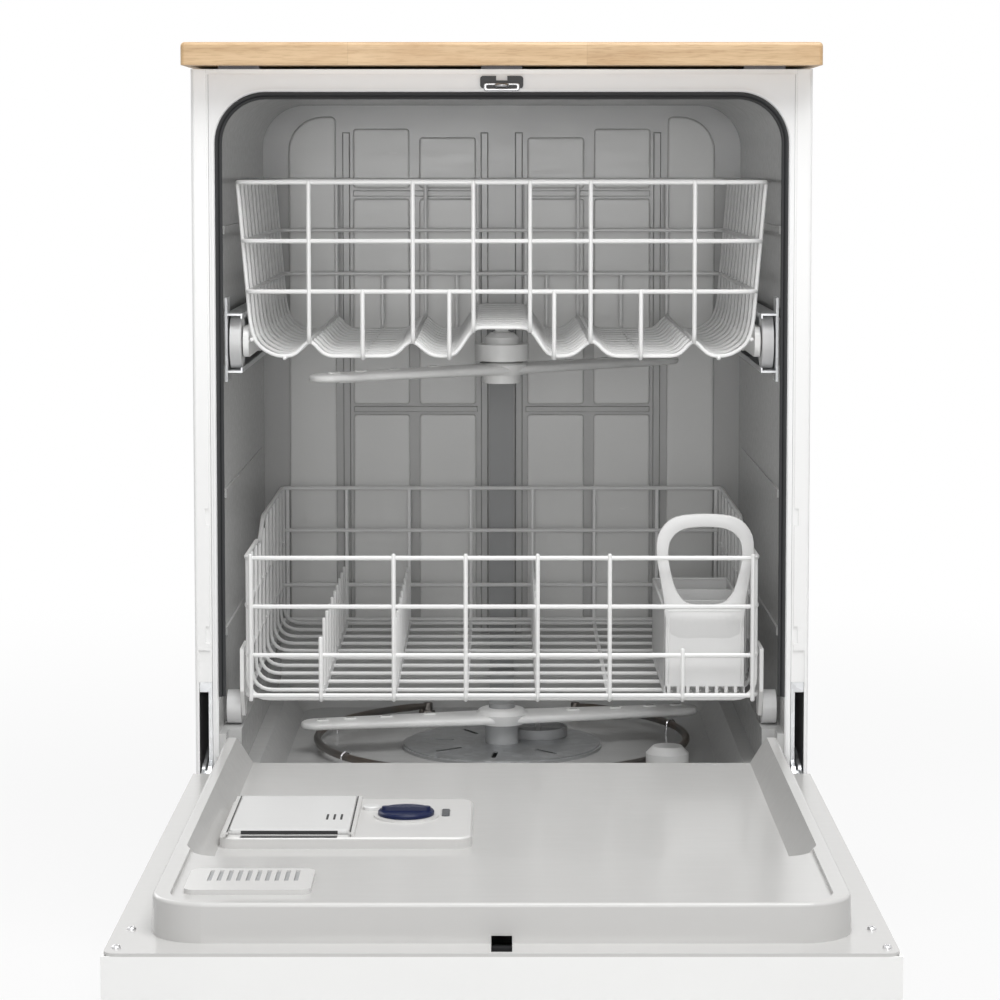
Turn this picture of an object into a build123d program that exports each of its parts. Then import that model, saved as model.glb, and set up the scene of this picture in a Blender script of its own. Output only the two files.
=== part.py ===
from build123d import *
import os
from math import atan2, cos, hypot, radians, sin

os.makedirs("parts", exist_ok=True)

# A portable dishwasher with a maple worktop, standing open. Millimetres, +X to the right seen
# from the front, the front faces -Y, +Z up. The origin is on the floor, at the middle of the
# cabinet's footprint. The door lies open and level, and both racks are pushed in.

# Cabinet
cabinet_width = 606.0
cabinet_depth = 600.0
cabinet_top = 893.0
panel_bottom = 52.0
sheet = 1.2
column_width = 15.0
rear_return = 22.0
worktop_width = 618.0
worktop_thickness = 22.0
worktop_front_overhang = 35.0
worktop_rear_overhang = 6.0
worktop_edge_radius = 4.0
bracket_height = 3.0
bracket_width = 40.0
rail_leg = 5.0
rail_flange = 30.0
seat_gap = 0.3

# Tub
tub_half_width = 280.0
tub_draft = 2.0
tub_floor = 196.0
tub_ceiling = 871.0
tub_depth = 559.0
tub_wall = 2.5
tub_corner = 50.0
tub_low_corner = 5.0
ledge_level = 238.0
ledge_inner = 260.0
ledge_lip = 7.0
ledge_setback = 26.0
well_half_width = 246.0
well_front_inset = 22.0
well_rear_inset = 30.0
well_slope = 18.0
well_level = 170.0
frame_thickness = 3.0
frame_margin = 5.6
frame_foot = 11.0
frame_top_margin = 17.0
bead_width = 2.0
bead_height = 1.5
back_rib_width = 9.0
back_rib_depth = 4.0
side_rib_depth = 2.6
gasket_width = 5.0
gasket_depth = 10.0
gasket_stand = 2.5
gasket_low = 276.0
gasket_fit = 0.1

# Door
hinge_ahead = 10.0
hinge_level = 200.0
hinge_pin_radius = 5.0
pin_clearance = 0.05
door_width = 603.0
door_reach = 692.0
door_tail = 3.0
flange_rise = 7.0
skin_drop = 38.0
liner_wall = 2.5
island_half_width = 272.0
island_start = 2.0
island_end = 663.0
island_rise = 31.0
island_corner = 42.0
lane_width = 11.0
field_half_width = 245.0
field_end = 478.0
field_rise = 5.0
field_slope = 16.0
plateau_drop = 4.0
plateau_half_width = 257.0
plateau_end = 655.0
seal_half_width = 262.0
console_start = 580.0
console_drop = 52.0
console_wall = 2.5
relief_reach = 30.0
relief_half_width = 283.0
arm_inner = 292.0
arm_thickness = 3.0
arm_length = 140.0
arm_tail = 45.0
arm_eye_radius = 11.0
slot_width = 16.0
slot_start = 665.0
slot_end = 687.0
slot_depth = 26.0

# Dispenser, on the liner
dispenser_left = -244.5
dispenser_right = -26.0
dispenser_start = 213.0
dispenser_end = 371.0
dispenser_rise = 10.0
lid_width = 104.0
lid_length = 138.0
lid_thickness = 4.0
cap_radius = 25.0
vent_width = 99.0
vent_length = 71.0
vent_slots = 10
vent_slot_pitch = 7.6
vent_slot_length = 34.0

# Racks
wire = 4.0
rack_front_setback = 34.0
upper_depth = 497.0
upper_half_top = 264.0
upper_half_bottom = 250.0
upper_top = 785.0
upper_side_low = 620.0
upper_valley = 607.5
upper_peak = 627.0
upper_arch = 638.0
upper_floor_wires = 10
side_uprights = 12
roller_radius = 27.0
roller_width = 11.0
roller_level = 624.0
upper_axle_radius = 5.0
channel_web = 2.5
channel_flange = 2.0
channel_reach = 17.0
lower_depth = 506.0
lower_half = 258.0
lower_bottom = 264.0
lower_front_top = 411.0
lower_rear_top = 427.0
lower_side_dip = 405.0
lower_floor_wires = 9
wheel_radius = 17.0
wheel_width = 14.0
wheel_inset = 26.0
wheel_rear_inset = 90.0
lower_axle_radius = 4.0
tine_height = 72.0
tine_count = 9

# Silverware basket
basket_width = 82.0
basket_length = 232.0
basket_height = 87.0
basket_wall = 2.0
basket_right = 245.0
handle_height = 96.0
handle_half_width = 49.0
handle_foot_half = 38.0
handle_bar = 5.0

# Water parts
post_y = -15.0
post_radius = 14.0
lower_arm_reach = 220.0
lower_arm_level = 196.0
upper_arm_reach = 247.0
upper_arm_level = 575.0
upper_arm_y = -10.0
arm_turn = 37.6
arm_thick = 12.0
arm_root_width = 52.0
arm_tip_width = 36.0
sump_radius = 95.0
sump_depth = 50.0
sump_wall = 4.0
filter_radius = 32.0
heater_radius = 200.0
heater_rod = 4.0
float_radius = 22.0
feed_width = 28.0
feed_thickness = 12.0

# Base and casters
rail_inner_half = 226.0
base_wall_half = 286.2
base_sheet = 2.5
caster_x = 245.0
caster_y = 245.0
caster_trail = 18.0
caster_radius = 22.0
caster_width = 18.0
caster_axle = 4.0
kingpin_radius = 5.0
fork_thickness = 2.5

half = cabinet_width / 2
front_y = -cabinet_depth / 2
back_y = cabinet_depth / 2
worktop_low = cabinet_top + bracket_height
tub_front = front_y + frame_thickness
tub_back = tub_front + tub_depth
rack_front = front_y + rack_front_setback
hinge_y = front_y - hinge_ahead
flange_top = hinge_level + flange_rise


def upright(y):
    """The plane of a front view, at depth y: its axes are X and Z, and it faces the front."""
    return Plane.XZ.offset(-y)


def sideways(x):
    """The plane of a side view, at x: its axes are Y and Z, and it faces +X."""
    return Plane.YZ.offset(x)


def arch(y, half_width, low, high, big, small):
    """Draws an upright outline with broad top corners and tight bottom corners."""
    with BuildSketch(upright(y)) as outline:
        with Locations((0, (low + high) / 2)):
            Rectangle(2 * half_width, high - low)
        rows = outline.vertices().group_by(Axis.Y)
        fillet(rows[-1], big)
        fillet(outline.vertices().group_by(Axis.Y)[0], small)
    return outline.sketch


def slab(x0, x1, y0, y1, z0, z1, mode=Mode.ADD):
    """Adds or cuts a plain block between two corners."""
    with BuildSketch(Plane.XY.offset(z0)) as outline:
        with Locations(((x0 + x1) / 2, (y0 + y1) / 2)):
            Rectangle(x1 - x0, y1 - y0)
    extrude(outline.sketch, amount=z1 - z0, mode=mode)


def rod_x(x0, x1, y, z, radius, mode=Mode.ADD):
    """Adds or cuts a round bar along X."""
    with BuildSketch(sideways(x0)) as outline:
        with Locations((y, z)):
            Circle(radius)
    extrude(outline.sketch, amount=x1 - x0, mode=mode)


def disc(x, y, z0, z1, radius, mode=Mode.ADD):
    """Adds or cuts an upright cylinder."""
    with BuildSketch(Plane.XY.offset(z0)) as outline:
        with Locations((x, y)):
            Circle(radius)
    extrude(outline.sketch, amount=z1 - z0, mode=mode)


def comb(low, high, count):
    """Evenly spaced places from low to high, both included."""
    return [low + (high - low) * step / (count - 1) for step in range(count)]


# Worktop board, its edges rounded over all round
with BuildPart() as worktop:
    with BuildSketch(Plane.XY.offset(worktop_low)):
        with Locations((0, (worktop_rear_overhang - worktop_front_overhang) / 2)):
            Rectangle(
                worktop_width,
                cabinet_depth + worktop_front_overhang + worktop_rear_overhang,
            )
    extrude(amount=worktop_thickness)
    fillet(worktop.edges().filter_by(Axis.Z), worktop_edge_radius)
    fillet(worktop.faces().sort_by(Axis.Z)[-1].edges(), worktop_edge_radius)
worktop.part.label = "worktop"
export_step(worktop.part, "parts/worktop.step")

# Dark spacers between the top rails and the board, three at the front and three at the back
with BuildPart() as worktop_brackets:
    for spacer_x in (-256.0, 0.0, 256.0):
        for spacer_y in (front_y + 1, back_y - 1 - rail_flange):
            slab(
                spacer_x - bracket_width / 2,
                spacer_x + bracket_width / 2,
                spacer_y,
                spacer_y + rail_flange,
                cabinet_top,
                worktop_low,
            )
worktop_brackets.part.label = "worktop_brackets"
export_step(worktop_brackets.part, "parts/worktop_brackets.step")

# Angle rails that tie the two side panels together under the board
with BuildPart() as top_rails:
    for rail_face, inward in ((front_y + sheet, 1), (back_y - sheet, -1)):
        with BuildSketch(sideways(-half + sheet + 2)):
            with Locations((rail_face + inward * rail_flange / 2, cabinet_top - sheet / 2)):
                Rectangle(rail_flange, sheet)
            with Locations((rail_face + inward * sheet / 2, cabinet_top - rail_leg / 2)):
                Rectangle(sheet, rail_leg)
        extrude(amount=cabinet_width - 2 * sheet - 4)
top_rails.part.label = "top_rails"
export_step(top_rails.part, "parts/top_rails.step")

# Side panel: one folded sheet with a front column and a rear return, notched for the hinge
notch_top = 322.0
notch_low = 140.0
with BuildPart() as side_panel_right:
    with BuildSketch(Plane.XY.offset(panel_bottom)):
        with BuildLine():
            FilletPolyline(
                (half - column_width, front_y + sheet / 2),
                (half - sheet / 2, front_y + sheet / 2),
                (half - sheet / 2, back_y - sheet / 2),
                (half - rear_return, back_y - sheet / 2),
                radius=2.5,
            )
        trace(line_width=sheet)
    extrude(amount=cabinet_top - panel_bottom)
    slab(
        half - column_width - 1,
        half - 4,
        front_y - 1,
        front_y + sheet + 1,
        notch_low,
        notch_top,
        Mode.SUBTRACT,
    )
    for notch_level in (454.5, 337.5):
        slab(
            half - column_width - 1,
            half - column_width + 4,
            front_y - 1,
            front_y + sheet + 1,
            notch_level - 8.5,
            notch_level + 8.5,
            Mode.SUBTRACT,
        )
side_panel_right.part.label = "side_panel_right"
export_step(side_panel_right.part, "parts/side_panel_right.step")

with BuildPart() as side_panel_left:
    mirror(side_panel_right.part, about=Plane.YZ)
side_panel_left.part.label = "side_panel_left"
export_step(side_panel_left.part, "parts/side_panel_left.step")

# Rear panel with a bay that holds the coiled hoses, and the glands that they leave by
bay_half = 150.0
bay_low = 560.0
bay_high = 700.0
bay_depth = 30.0
gland_radius = 12.0
with BuildPart() as back_panel:
    with BuildSketch(upright(back_y + sheet)):
        with Locations((0, (panel_bottom + 8 + cabinet_top) / 2)):
            Rectangle(cabinet_width, cabinet_top - panel_bottom - 8)
        with Locations((0, (bay_low + bay_high) / 2)):
            RectangleRounded(2 * bay_half, bay_high - bay_low, 14, mode=Mode.SUBTRACT)
    extrude(amount=sheet)
    with BuildSketch(upright(back_y + sheet)):
        with Locations((0, (bay_low + bay_high) / 2)):
            RectangleRounded(2 * (bay_half + sheet), bay_high - bay_low + 2 * sheet, 15)
    extrude(amount=bay_depth + sheet)
    with BuildSketch(upright(back_y + sheet)):
        with Locations((0, (bay_low + bay_high) / 2)):
            RectangleRounded(2 * bay_half, bay_high - bay_low, 14)
    extrude(amount=bay_depth, mode=Mode.SUBTRACT)
    for gland_x in (-70.0, -20.0, 90.0):
        with BuildSketch(upright(back_y + sheet - 12)):
            with Locations((gland_x, bay_low + 32)):
                Circle(gland_radius)
        extrude(amount=bay_depth - 12)
    with BuildSketch(upright(back_y + sheet)):
        with Locations((0, 150)):
            with GridLocations(44, 0, 9, 1):
                SlotOverall(60, 6, rotation=90)
    extrude(amount=sheet, mode=Mode.SUBTRACT)
back_panel.part.label = "back_panel"
export_step(back_panel.part, "parts/back_panel.step")

# Tub: one moulding, a drafted box open to the front, with wheel ledges and a sunk floor
well_front = tub_front + well_front_inset
well_back = tub_back - well_rear_inset
with BuildPart() as tub:
    mouth_skin = arch(
        tub_front,
        tub_half_width + tub_wall,
        tub_floor - tub_wall,
        tub_ceiling + tub_wall,
        tub_corner + tub_wall,
        tub_low_corner,
    )
    rear_skin = arch(
        tub_back + tub_wall,
        tub_half_width - tub_draft + tub_wall,
        tub_floor - tub_wall,
        tub_ceiling - tub_draft + tub_wall,
        tub_corner + tub_wall,
        tub_low_corner,
    )
    loft([mouth_skin, rear_skin])
    with BuildSketch(Plane.XY.offset(tub_floor - tub_wall)):
        with Locations((0, (well_front + well_back) / 2)):
            RectangleRounded(
                2 * (well_half_width + tub_wall), well_back - well_front + 2 * tub_wall, 40
            )
    with BuildSketch(Plane.XY.offset(well_level - tub_wall)):
        with Locations((0, (well_front + well_back) / 2)):
            RectangleRounded(
                2 * (well_half_width + tub_wall - well_slope),
                well_back - well_front + 2 * tub_wall - 2 * well_slope,
                32,
            )
    loft()
    mouth_room = arch(
        tub_front - 1, tub_half_width, tub_floor, tub_ceiling, tub_corner, tub_low_corner - 2
    )
    rear_room = arch(
        tub_back,
        tub_half_width - tub_draft,
        tub_floor,
        tub_ceiling - tub_draft,
        tub_corner,
        tub_low_corner - 2,
    )
    loft([mouth_room, rear_room], mode=Mode.SUBTRACT)
    with BuildSketch(Plane.XY.offset(tub_floor + 1)):
        with Locations((0, (well_front + well_back) / 2)):
            RectangleRounded(2 * well_half_width, well_back - well_front, 38)
    with BuildSketch(Plane.XY.offset(well_level)):
        with Locations((0, (well_front + well_back) / 2)):
            RectangleRounded(
                2 * (well_half_width - well_slope), well_back - well_front - 2 * well_slope, 30
            )
    loft(mode=Mode.SUBTRACT)
    disc(0, post_y, well_level - 5, well_level + 1, sump_radius + 1, Mode.SUBTRACT)
    # stiffening ribs on the rear wall, beside the feed channel and the two side fields
    for rib_x in (-181.0, -20.0, 20.0, 181.0):
        with BuildSketch(upright(tub_back)):
            with Locations((rib_x, (250 + 838) / 2)):
                Rectangle(back_rib_width, 838 - 250)
        extrude(amount=back_rib_depth, taper=18)
    for rib_level in (515.0, 767.0):
        for rib_side in (-1, 1):
            with BuildSketch(upright(tub_back)):
                with Locations((rib_side * 100.5, rib_level)):
                    Rectangle(145, 7)
            extrude(amount=back_rib_depth - 1.5, taper=18)
    # hollow ledges for the lower wheels, each with a narrow lip ahead of it that reaches the mouth
    for ledge_side in (-1, 1):
        start, end = sorted((ledge_side * ledge_inner, ledge_side * (tub_half_width + 1)))
        slab(start, end, tub_front + ledge_setback, tub_back + 1, tub_floor - 1, ledge_level)
        start, end = sorted(
            (ledge_side * (tub_half_width - ledge_lip), ledge_side * (tub_half_width + 1))
        )
        slab(start, end, tub_front, tub_front + ledge_setback, tub_floor - 1, ledge_level)
        start, end = sorted(
            (
                ledge_side * (ledge_inner + tub_wall),
                ledge_side * (tub_half_width - tub_draft - tub_wall),
            )
        )
        slab(start, end, tub_front + ledge_setback + tub_wall, tub_back - tub_wall,
             tub_floor - tub_wall - 1, ledge_level - tub_wall, Mode.SUBTRACT)
    # pads that carry the rack rails, and long ribs above and below them
    for wall_side in (-1, 1):
        for pad_y in (-230.0, 120.0):
            slab(
                min(wall_side * 274, wall_side * (tub_half_width + 1)),
                max(wall_side * 274, wall_side * (tub_half_width + 1)),
                pad_y - 24,
                pad_y + 24,
                600,
                648,
            )
        for rib_level in (330.0, 470.0, 735.0):
            slab(
                min(wall_side * (tub_half_width - side_rib_depth), wall_side * (tub_half_width + 1)),
                max(wall_side * (tub_half_width - side_rib_depth), wall_side * (tub_half_width + 1)),
                -230,
                220,
                rib_level - 4,
                rib_level + 4,
            )
tub.part.label = "tub"
export_step(tub.part, "parts/tub.step")

# Front frame around the mouth, with a raised bead that the door's flange closes against
with BuildPart() as tub_frame:
    with BuildSketch(upright(tub_front)):
        with Locations((0, (tub_floor - frame_foot + tub_ceiling + frame_top_margin) / 2)):
            Rectangle(
                2 * (tub_half_width + frame_margin),
                tub_ceiling + frame_top_margin - tub_floor + frame_foot,
            )
    extrude(amount=frame_thickness)
    mouth = arch(
        tub_front + 1, tub_half_width, tub_floor, tub_ceiling, tub_corner, tub_low_corner - 2
    )
    extrude(mouth, amount=frame_thickness + 2, mode=Mode.SUBTRACT)
    bead = arch(
        front_y,
        tub_half_width + 1 + bead_width,
        tub_floor - 1 - bead_width,
        tub_ceiling + 1 + bead_width,
        tub_corner + 1 + bead_width,
        tub_low_corner + 1,
    )
    extrude(bead, amount=bead_height)
    bead_room = arch(
        front_y,
        tub_half_width + 1,
        tub_floor - 1,
        tub_ceiling + 1,
        tub_corner + 1,
        tub_low_corner - 1,
    )
    extrude(bead_room, amount=bead_height + 1, mode=Mode.SUBTRACT)
    slab(-285, 285, front_y - 3, front_y, tub_floor - 8, tub_floor + 20, Mode.SUBTRACT)
tub_frame.part.label = "tub_frame"
export_step(tub_frame.part, "parts/tub_frame.step")

# Door gasket: a soft bulb up both sides and across the top of the mouth, and a rubber strip on
# the frame's bottom bar
with BuildPart() as door_gasket:
    bulb = arch(
        front_y - gasket_stand + gasket_depth,
        tub_half_width - gasket_fit,
        tub_floor,
        tub_ceiling - gasket_fit,
        tub_corner,
        tub_low_corner,
    )
    extrude(bulb, amount=gasket_depth)
    bulb_room = arch(
        front_y - gasket_stand + gasket_depth + 1,
        tub_half_width - gasket_width,
        tub_floor - 5,
        tub_ceiling - gasket_width,
        tub_corner - gasket_width,
        tub_low_corner,
    )
    extrude(bulb_room, amount=gasket_depth + 2, mode=Mode.SUBTRACT)
    slab(-290, 290, front_y - 8, front_y + 12, tub_floor - 6, gasket_low, Mode.SUBTRACT)
    fillet(door_gasket.faces().sort_by(Axis.Y)[0].edges(), 1.8)
    with BuildSketch(sideways(-seal_half_width)):
        with BuildLine():
            Polyline(
                (front_y, tub_floor - 10),
                (front_y - 1.2, tub_floor - 9),
                (front_y - 1.8, tub_floor - 4),
                (front_y, tub_floor - 1),
                close=True,
            )
        make_face()
    extrude(amount=2 * seal_half_width)
door_gasket.part.label = "door_gasket"
export_step(door_gasket.part, "parts/door_gasket.step")

# Latch strike: a two-lobed block on the frame's top bar, and a bent wire loop under it
strike_half = 19.0
strike_block = 2.6
strike_level = tub_ceiling + 6.0
strike_reach = 19.0
strike_wire = 2.0
strike_spread = 5.0
with BuildPart() as strike_mount:
    with BuildSketch(upright(front_y)):
        with Locations((0, tub_ceiling + 9.5)):
            RectangleRounded(2 * strike_half + 4, 12, 3)
        with Locations((0, tub_ceiling + 14)):
            Rectangle(11, 6, mode=Mode.SUBTRACT)
    extrude(amount=strike_block)
strike_mount.part.label = "strike_mount"
export_step(strike_mount.part, "parts/strike_mount.step")

with BuildPart() as latch_strike:
    with BuildLine() as strike_path:
        FilletPolyline(
            (-strike_spread, front_y - strike_block, strike_level),
            (-strike_spread, front_y - strike_reach, strike_level),
            (strike_spread, front_y - strike_reach, strike_level),
            (strike_spread, front_y - strike_block, strike_level),
            radius=4,
        )
    with BuildSketch(Plane(origin=strike_path.line @ 0, z_dir=strike_path.line % 0)):
        RegularPolygon(strike_wire, 10)
    sweep()
latch_strike.part.label = "latch_strike"
export_step(latch_strike.part, "parts/latch_strike.step")

# Channel rails for the upper rack, with a tall end cap at the front
channel_outer = 274.0
channel_front = front_y + 32
channel_back = 190.0
channel_half = roller_radius + seat_gap
with BuildPart() as upper_rails:
    for rail_side in (-1, 1):
        with BuildSketch(upright(channel_back)):
            with Locations((rail_side * (channel_outer - channel_web / 2), roller_level)):
                Rectangle(channel_web, 2 * (channel_half + channel_flange))
            for edge_side in (-1, 1):
                with Locations(
                    (
                        rail_side * (channel_outer - channel_reach / 2),
                        roller_level + edge_side * (channel_half + channel_flange / 2),
                    )
                ):
                    Rectangle(channel_reach, channel_flange)
                with Locations(
                    (
                        rail_side * (channel_outer - channel_reach + 0.75),
                        roller_level + edge_side * (channel_half + channel_flange - 2.5),
                    )
                ):
                    Rectangle(1.5, 5)
        extrude(amount=channel_back - channel_front)
        slab(
            min(rail_side * channel_outer, rail_side * (channel_outer - channel_web)),
            max(rail_side * channel_outer, rail_side * (channel_outer - channel_web)),
            channel_front - 2,
            channel_front + 26,
            roller_level - 38,
            roller_level + 45,
        )
upper_rails.part.label = "upper_rails"
export_step(upper_rails.part, "parts/upper_rails.step")

# Feed tube: a flat duct along the floor from the sump, over the rear step and up the rear wall,
# with the port behind the upper rack
feed_top = 622.0
port_level = 604.0
feed_face = tub_back - 0.5 - feed_thickness
port_face = feed_face - 8.5
with BuildPart() as feed_tube:
    with BuildSketch(sideways(-feed_width / 2)):
        with BuildLine():
            Polyline(
                (post_y + sump_radius + 13.6, well_level + 3.5),
                (211, well_level + 3.5),
                (229, tub_floor + 2),
                (231, tub_floor + 3.5),
                (tub_back - 0.5, tub_floor + 3.5),
                (tub_back - 0.5, feed_top),
                (feed_face, feed_top),
                (feed_face, tub_floor + 15.5),
                (222, tub_floor + 15.5),
                (218, tub_floor + 8),
                (211, well_level + 24),
                (205, well_level + 15.5),
                (post_y + sump_radius + 13.6, well_level + 15.5),
                close=True,
            )
        make_face()
    extrude(amount=feed_width)
    with BuildSketch(upright(feed_face)):
        with Locations((0, port_level)):
            Circle(13)
    extrude(amount=feed_face - port_face)
    with BuildSketch(upright(port_face + 6)):
        with Locations((0, port_level)):
            Circle(9)
    extrude(amount=8, mode=Mode.SUBTRACT)
feed_tube.part.label = "feed_tube"
export_step(feed_tube.part, "parts/feed_tube.step")

# Sump: a bowl hung in the floor by its rim, with the arm post on a bridge across it
sump_floor = well_level + 3 - sump_depth
with BuildPart() as sump:
    with BuildSketch(upright(post_y)):
        with BuildLine():
            Polyline(
                (0, sump_floor),
                (sump_radius - 14, sump_floor),
                (sump_radius, sump_floor + 14),
                (sump_radius, well_level),
                (sump_radius + 13, well_level),
                (sump_radius + 13, well_level + 3),
                (sump_radius - sump_wall, well_level + 3),
                (sump_radius - sump_wall, sump_floor + 14 + sump_wall / 2),
                (sump_radius - 14 - sump_wall / 2, sump_floor + sump_wall),
                (post_radius + 4, sump_floor + sump_wall),
                (post_radius + 4, lower_arm_level - seat_gap),
                (post_radius, lower_arm_level - seat_gap),
                (post_radius, lower_arm_level + 22),
                (0, lower_arm_level + 22),
                close=True,
            )
        make_face()
    revolve(axis=Axis((0, post_y, 0), (0, 0, 1)))
sump.part.label = "sump"
export_step(sump.part, "parts/sump.step")

# Fine filter plate: a disc over the bowl, open around the post and the coarse filter
filter_x = 40.0
filter_y = post_y + 40.0
plate_level = well_level + 3
with BuildPart() as fine_filter:
    disc(0, post_y, plate_level, plate_level + 1.6, sump_radius + 11)
    disc(0, post_y, plate_level - 1, plate_level + 3, post_radius + 4 + seat_gap, Mode.SUBTRACT)
    disc(filter_x, filter_y, plate_level - 1, plate_level + 3, filter_radius + seat_gap,
         Mode.SUBTRACT)
    with BuildSketch(Plane.XY.offset(plate_level - 1)):
        with Locations((0, post_y)):
            with PolarLocations(70, 5, start_angle=120, angular_range=240):
                SlotOverall(34, 5)
    extrude(amount=4, mode=Mode.SUBTRACT)
fine_filter.part.label = "fine_filter"
export_step(fine_filter.part, "parts/fine_filter.step")

# Coarse filter: a cup with a cross grip, lifted out after a quarter turn
with BuildPart() as coarse_filter:
    disc(filter_x, filter_y, plate_level - 32, plate_level + 12, filter_radius)
    disc(filter_x, filter_y, plate_level - 29, plate_level + 12.5, filter_radius - 2.5,
         Mode.SUBTRACT)
    with BuildSketch(Plane.XY.offset(plate_level + 2)):
        with Locations((filter_x, filter_y)):
            Rectangle(2 * filter_radius - 4, 5)
            Rectangle(5, 2 * filter_radius - 4)
    extrude(amount=9)
    with BuildSketch(Plane.XY.offset(plate_level - 26)):
        with Locations((filter_x, filter_y)):
            with PolarLocations(filter_radius, 10):
                Rectangle(6, 7)
    extrude(amount=22, mode=Mode.SUBTRACT)
coarse_filter.part.label = "coarse_filter"
export_step(coarse_filter.part, "parts/coarse_filter.step")

# Heater: one rod bent round the floor on three stand-off clips, its two ends at the rear
heater_level = well_level + 11
heater_from = 115.0
heater_sweep = 310.0
with BuildPart() as heater_loop:
    with BuildSketch(
        Plane(
            origin=(0, post_y, heater_level),
            x_dir=(cos(radians(heater_from)), sin(radians(heater_from)), 0),
            z_dir=(sin(radians(heater_from)), -cos(radians(heater_from)), 0),
        )
    ):
        with Locations((heater_radius, 0)):
            RegularPolygon(heater_rod, 8)
    revolve(axis=Axis((0, post_y, 0), (0, 0, 1)), revolution_arc=heater_sweep)
    for end_angle in (heater_from, heater_from + heater_sweep):
        end_x = heater_radius * cos(radians(end_angle))
        end_y = post_y + heater_radius * sin(radians(end_angle))
        disc(end_x, end_y, well_level, heater_level + 4, 7)
    for clip_angle in (180, 270, 0):
        clip_x = heater_radius * cos(radians(clip_angle))
        clip_y = post_y + heater_radius * sin(radians(clip_angle))
        slab(clip_x - 4, clip_x + 4, clip_y - 4, clip_y + 4, well_level, heater_level)
heater_loop.part.label = "heater_loop"
export_step(heater_loop.part, "parts/heater_loop.step")

# Float: a domed cap over a post on the tub floor, free to rise with the water
float_x = 170.0
float_y = -195.0
with BuildPart() as float_dome:
    with BuildSketch(upright(float_y)):
        with BuildLine():
            Polyline(
                (float_x, well_level + 36),
                (float_x + float_radius - 7, well_level + 36),
                (float_x + float_radius, well_level + 29),
                (float_x + float_radius, well_level + seat_gap),
                (float_x + float_radius - 2.5, well_level + seat_gap),
                (float_x + float_radius - 2.5, well_level + 28),
                (float_x + float_radius - 8, well_level + 33),
                (float_x, well_level + 33),
                close=True,
            )
        make_face()
    revolve(axis=Axis((float_x, float_y, 0), (0, 0, 1)))
float_dome.part.label = "float_dome"
export_step(float_dome.part, "parts/float_dome.step")


def spray_blade(centre_y, level, reach, turn, bore, hub_radius, hub_height):
    """Builds a flat spray arm: two tapered blades, a round hub with its bore, and raised jets."""
    direction = Plane(
        origin=(0, centre_y, level), x_dir=(cos(radians(turn)), sin(radians(turn)), 0),
        z_dir=(0, 0, 1),
    )
    with BuildSketch(direction) as blades:
        with BuildLine():
            Polyline(
                (-reach + 12, -arm_tip_width / 2),
                (0, -arm_root_width / 2),
                (reach - 12, -arm_tip_width / 2),
                (reach, 0),
                (reach - 12, arm_tip_width / 2),
                (0, arm_root_width / 2),
                (-reach + 12, arm_tip_width / 2),
                (-reach, 0),
                close=True,
            )
        make_face()
    extrude(blades.sketch, amount=arm_thick, taper=14)
    with BuildSketch(direction) as hub:
        Circle(hub_radius)
    extrude(hub.sketch, amount=hub_height)
    with BuildSketch(direction.offset(arm_thick)) as jets:
        for blade in (-1, 1):
            for share in (0.36, 0.58, 0.76, 0.9):
                with Locations((blade * reach * share, (share - 0.6) * 16 * blade)):
                    Rectangle(15, 7)
    extrude(jets.sketch, amount=1.6)
    with BuildSketch(direction.offset(-1)) as hole:
        Circle(bore)
    extrude(hole.sketch, amount=hub_height + 4, mode=Mode.SUBTRACT)


with BuildPart() as lower_spray_arm:
    spray_blade(post_y, lower_arm_level, lower_arm_reach, 12.0, post_radius + pin_clearance,
                24.0, 17.0)
lower_spray_arm.part.label = "lower_spray_arm"
export_step(lower_spray_arm.part, "parts/lower_spray_arm.step")

neck_radius = 15.0
with BuildPart() as upper_spray_arm:
    spray_blade(upper_arm_y, upper_arm_level, upper_arm_reach, arm_turn,
                neck_radius + pin_clearance, 24.0, 15.0)
upper_spray_arm.part.label = "upper_spray_arm"
export_step(upper_spray_arm.part, "parts/upper_spray_arm.step")

floor_ys = comb(rack_front + 3 * wire, rack_front + upper_depth - 2 * wire, upper_floor_wires)

# Arm mount: the pipe under the upper rack, the collar, the neck that the arm turns on and its nut
pipe_level = 596.0
pipe_height = 12.0
with BuildPart() as upper_arm_mount:
    with BuildSketch(upright(port_face - seat_gap)):
        with Locations((0, pipe_level + pipe_height / 2)):
            RectangleRounded(24, pipe_height, 5)
    extrude(amount=port_face - seat_gap - upper_arm_y)
    disc(0, upper_arm_y, upper_arm_level + 15 + seat_gap, pipe_level + pipe_height, 29)
    disc(0, upper_arm_y, upper_arm_level - 3, pipe_level, neck_radius)
    disc(0, upper_arm_y, upper_arm_level - 9, upper_arm_level - seat_gap, 20)
    disc(0, upper_arm_y, pipe_level + pipe_height, pipe_level + pipe_height + 12, 18)
    chamfer(upper_arm_mount.faces().sort_by(Axis.Z)[-1].edges(), 5)
    for clip_y in (floor_ys[5], floor_ys[8]):
        slab(-7, 7, clip_y - wire - 3, clip_y + 3, pipe_level + pipe_height - 1,
             upper_arch - wire / 2)
upper_arm_mount.part.label = "upper_arm_mount"
export_step(upper_arm_mount.part, "parts/upper_arm_mount.step")


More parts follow.
